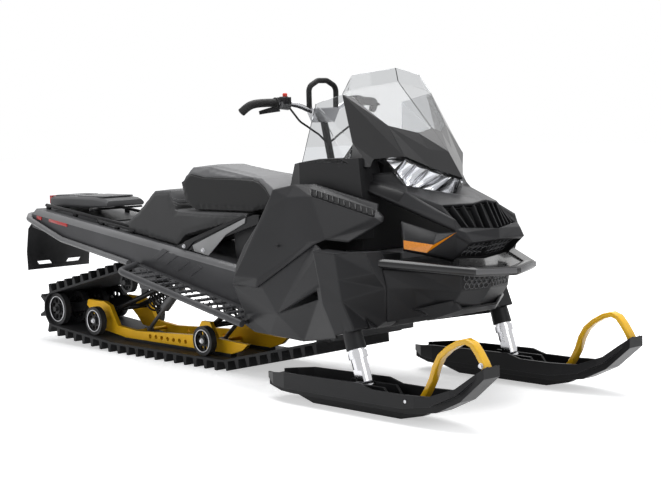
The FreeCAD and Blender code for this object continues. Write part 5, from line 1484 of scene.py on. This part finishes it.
# %% [markdown]
# The loop at a ski's tip is the handle that pulls it out of deep snow. It is a moulded
# strap, wider than thick, that leans forward from its rear foot, arches over, and drops to
# the tip. Its section is set square to the line at every place along it.

# %% Ski loops
loop_line = [(1.288, 0.078), (1.316, 0.116), (1.340, 0.158), (1.356, 0.202), (1.380, 0.240),
             (1.418, 0.270), (1.464, 0.294), (1.499, 0.303), (1.526, 0.294), (1.549, 0.268),
             (1.571, 0.236), (1.584, 0.212)]
half = Vector((0.0, 0.017, 0.0))
for tag, sign in sides:
    rings = []
    for index, (x, z) in enumerate(loop_line):
        ahead = loop_line[min(index + 1, len(loop_line) - 1)]
        behind = loop_line[max(index - 1, 0)]
        run = Vector((ahead[0] - behind[0], 0.0, ahead[1] - behind[1])).normalized()
        out = Vector((-run.z, 0.0, run.x)) * 0.010
        centre = Vector((x, -ski_y * sign, z))
        rings.append([tuple(centre + out + half), tuple(centre + out - half),
                      tuple(centre - out - half), tuple(centre - out + half)])
    strap = facing_out(drawn_bar(rings))
    modify(strap, "BEVEL", width=0.0035, segments=3, limit_method="ANGLE", angle_limit=1.0)
    settle(strap, f"ski_handle_{tag}", loop_yellow, f"ski_{tag}", 45.0)
    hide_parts(f"ski_loop_{tag}")
    out = (0.0, -1.0 * sign, 0.0)
    bolts(f"loop_bolts_{tag}", f"ski_{tag}", [
        ((1.569, (-ski_y - 0.0165) * sign, 0.229), out, 0.020),
        ((1.282, (-ski_y - 0.0790) * sign, 0.084), out, 0.018),
    ])
print("ski loops made")

# %% [markdown]
# The snow flap is a bent rubber sheet behind the track. It has slots that let air through,
# and stays bare. The sheet is drawn downwards in wide, thin sections, and each slot is cut
# by a slanted block with a Boolean modifier.

# %% Snow flap
flap_line = [(-1.484, 0.642, 0.165), (-1.572, 0.544, 0.185), (-1.594, 0.430, 0.185), (-1.5975, 0.337, 0.180)]
rings = [[(x, -half, z), (x, half, z), (x + 0.004, half, z), (x + 0.004, -half, z)]
         for x, z, half in flap_line]
flap = facing_out(drawn_bar(rings))
slot_spots = [(-0.085, 0.369, 0.072, 0.016), (0.085, 0.369, 0.072, 0.016), (0.0, 0.499, 0.078, 0.013)]
for y, z, width, height in slot_spots:
    cutter = cuboid((0.120, width, height), (-1.585, y, z))
    for vertex in cutter.data.vertices:
        vertex.co.y += (z - vertex.co.z) * 0.8 * (1.0 if y < 0.05 else -1.0)
    modify(flap, "BOOLEAN", object=cutter, operation="DIFFERENCE", solver="EXACT")
    bpy.data.objects.remove(cutter, do_unlink=True)
modify(flap, "BEVEL", width=0.0010, segments=2, limit_method="ANGLE", angle_limit=0.9)
settle(flap, "flap_sheet", flap_rubber, "chassis")
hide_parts("snow_flap")
print("flap faces:", len(flap.data.polygons))

# %% [markdown]
# The box over the tail is low, and tapers to the front. Two raised lids lie on it, each
# with a round latch. Rails run from under it to the pad, so that loads can be tied down.

# %% Cargo box
box_side = [(-1.478, 0.652, 0.703), (-1.330, 0.652, 0.7055), (-1.120, 0.656, 0.7050),
            (-1.030, 0.660, 0.698), (-1.003, 0.662, 0.690)]
rings = []
for x, low, top in box_side:
    rings.append([(x, -0.106, low), (x, -0.111, low + 0.010), (x, -0.108, top - 0.012), (x, -0.094, top),
                  (x, 0.094, top), (x, 0.108, top - 0.012), (x, 0.111, low + 0.010), (x, 0.106, low)])
shell = facing_out(drawn_bar(rings))
modify(shell, "BEVEL", width=0.003, segments=2, limit_method="ANGLE", angle_limit=0.4)
lids = [rounded_block((-1.405, 0.0, 0.7055), (0.110, 0.176, 0.006), upright, 0.002),
        rounded_block((-1.165, 0.0, 0.7060), (0.210, 0.176, 0.006), upright, 0.002)]
settle(join_pieces([shell] + lids), "cargo_shell", box_plastic, "chassis")
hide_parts("cargo_box")
latches = []
for x in (-1.335, -1.285):
    for y in (-0.050, 0.050):
        disc = primitive("cylinder", vertices=28, radius=0.015, depth=0.006, location=(x, y, 0.7075))
        pick(disc, lambda face: face.normal.z > 0.9)
        bpy.ops.mesh.inset(thickness=0.004)
        push(-0.002)
        alone(disc)
        latches.append(disc)
settle(join_pieces(latches), "box_latches", light_coat, "chassis")
rails = []
for sign in (1, -1):
    y = -0.150 * sign
    rails.append(bar_between((-1.455, y, 0.664), (-0.705, y, 0.580), 0.016, 0.014))
    for x, top in ((-1.430, 0.661), (-1.200, 0.636), (-1.000, 0.613)):
        rails.append(bar_between((x, y, tunnel_height(x) - 0.001), (x, y, top), 0.018, 0.026))
for x, z in ((-1.380, 0.652), (-1.080, 0.650)):
    rails.append(bar_between((x, -0.150, z), (x, 0.150, z), 0.018, 0.010))
settle(facing_out(join_pieces(rails)), "load_rails", black_coat, "chassis")
print("cargo box made")

# %% [markdown]
# The tunnel is folded from sheet, and its upper edge is a flat fold that catches the light.
# Its strip is painted a lighter grey, as a painted highlight along the fold.

# %% Tunnel folds
rear_x, front_x = -1470, 640
rear_top, front_top = [tunnel_height(x / 1000.0) * 1000.0 for x in (rear_x, front_x)]
twin_trims("tunnel_fold_highlights", [[(rear_x, -196.2, rear_top), (front_x, -196.2, front_top),
                             (front_x, -221.8, front_top - 26), (rear_x, -221.8, rear_top - 26)]],
           0.0012, 0.0006, (0.0, -0.7, 0.7), highlight_grey_coat)
# Lighter grey pads on the front faces of the bumper's point: a painted highlight.
twin_trims("bumper_highlight_pads", [[(1329, -169, 514), (1387, -8, 508), (1387, -8, 486), (1329, -169, 491)]],
           0.002, 0.0014, (0.9, -0.4, 0.0), highlight_grey_coat)
print("folds laid")
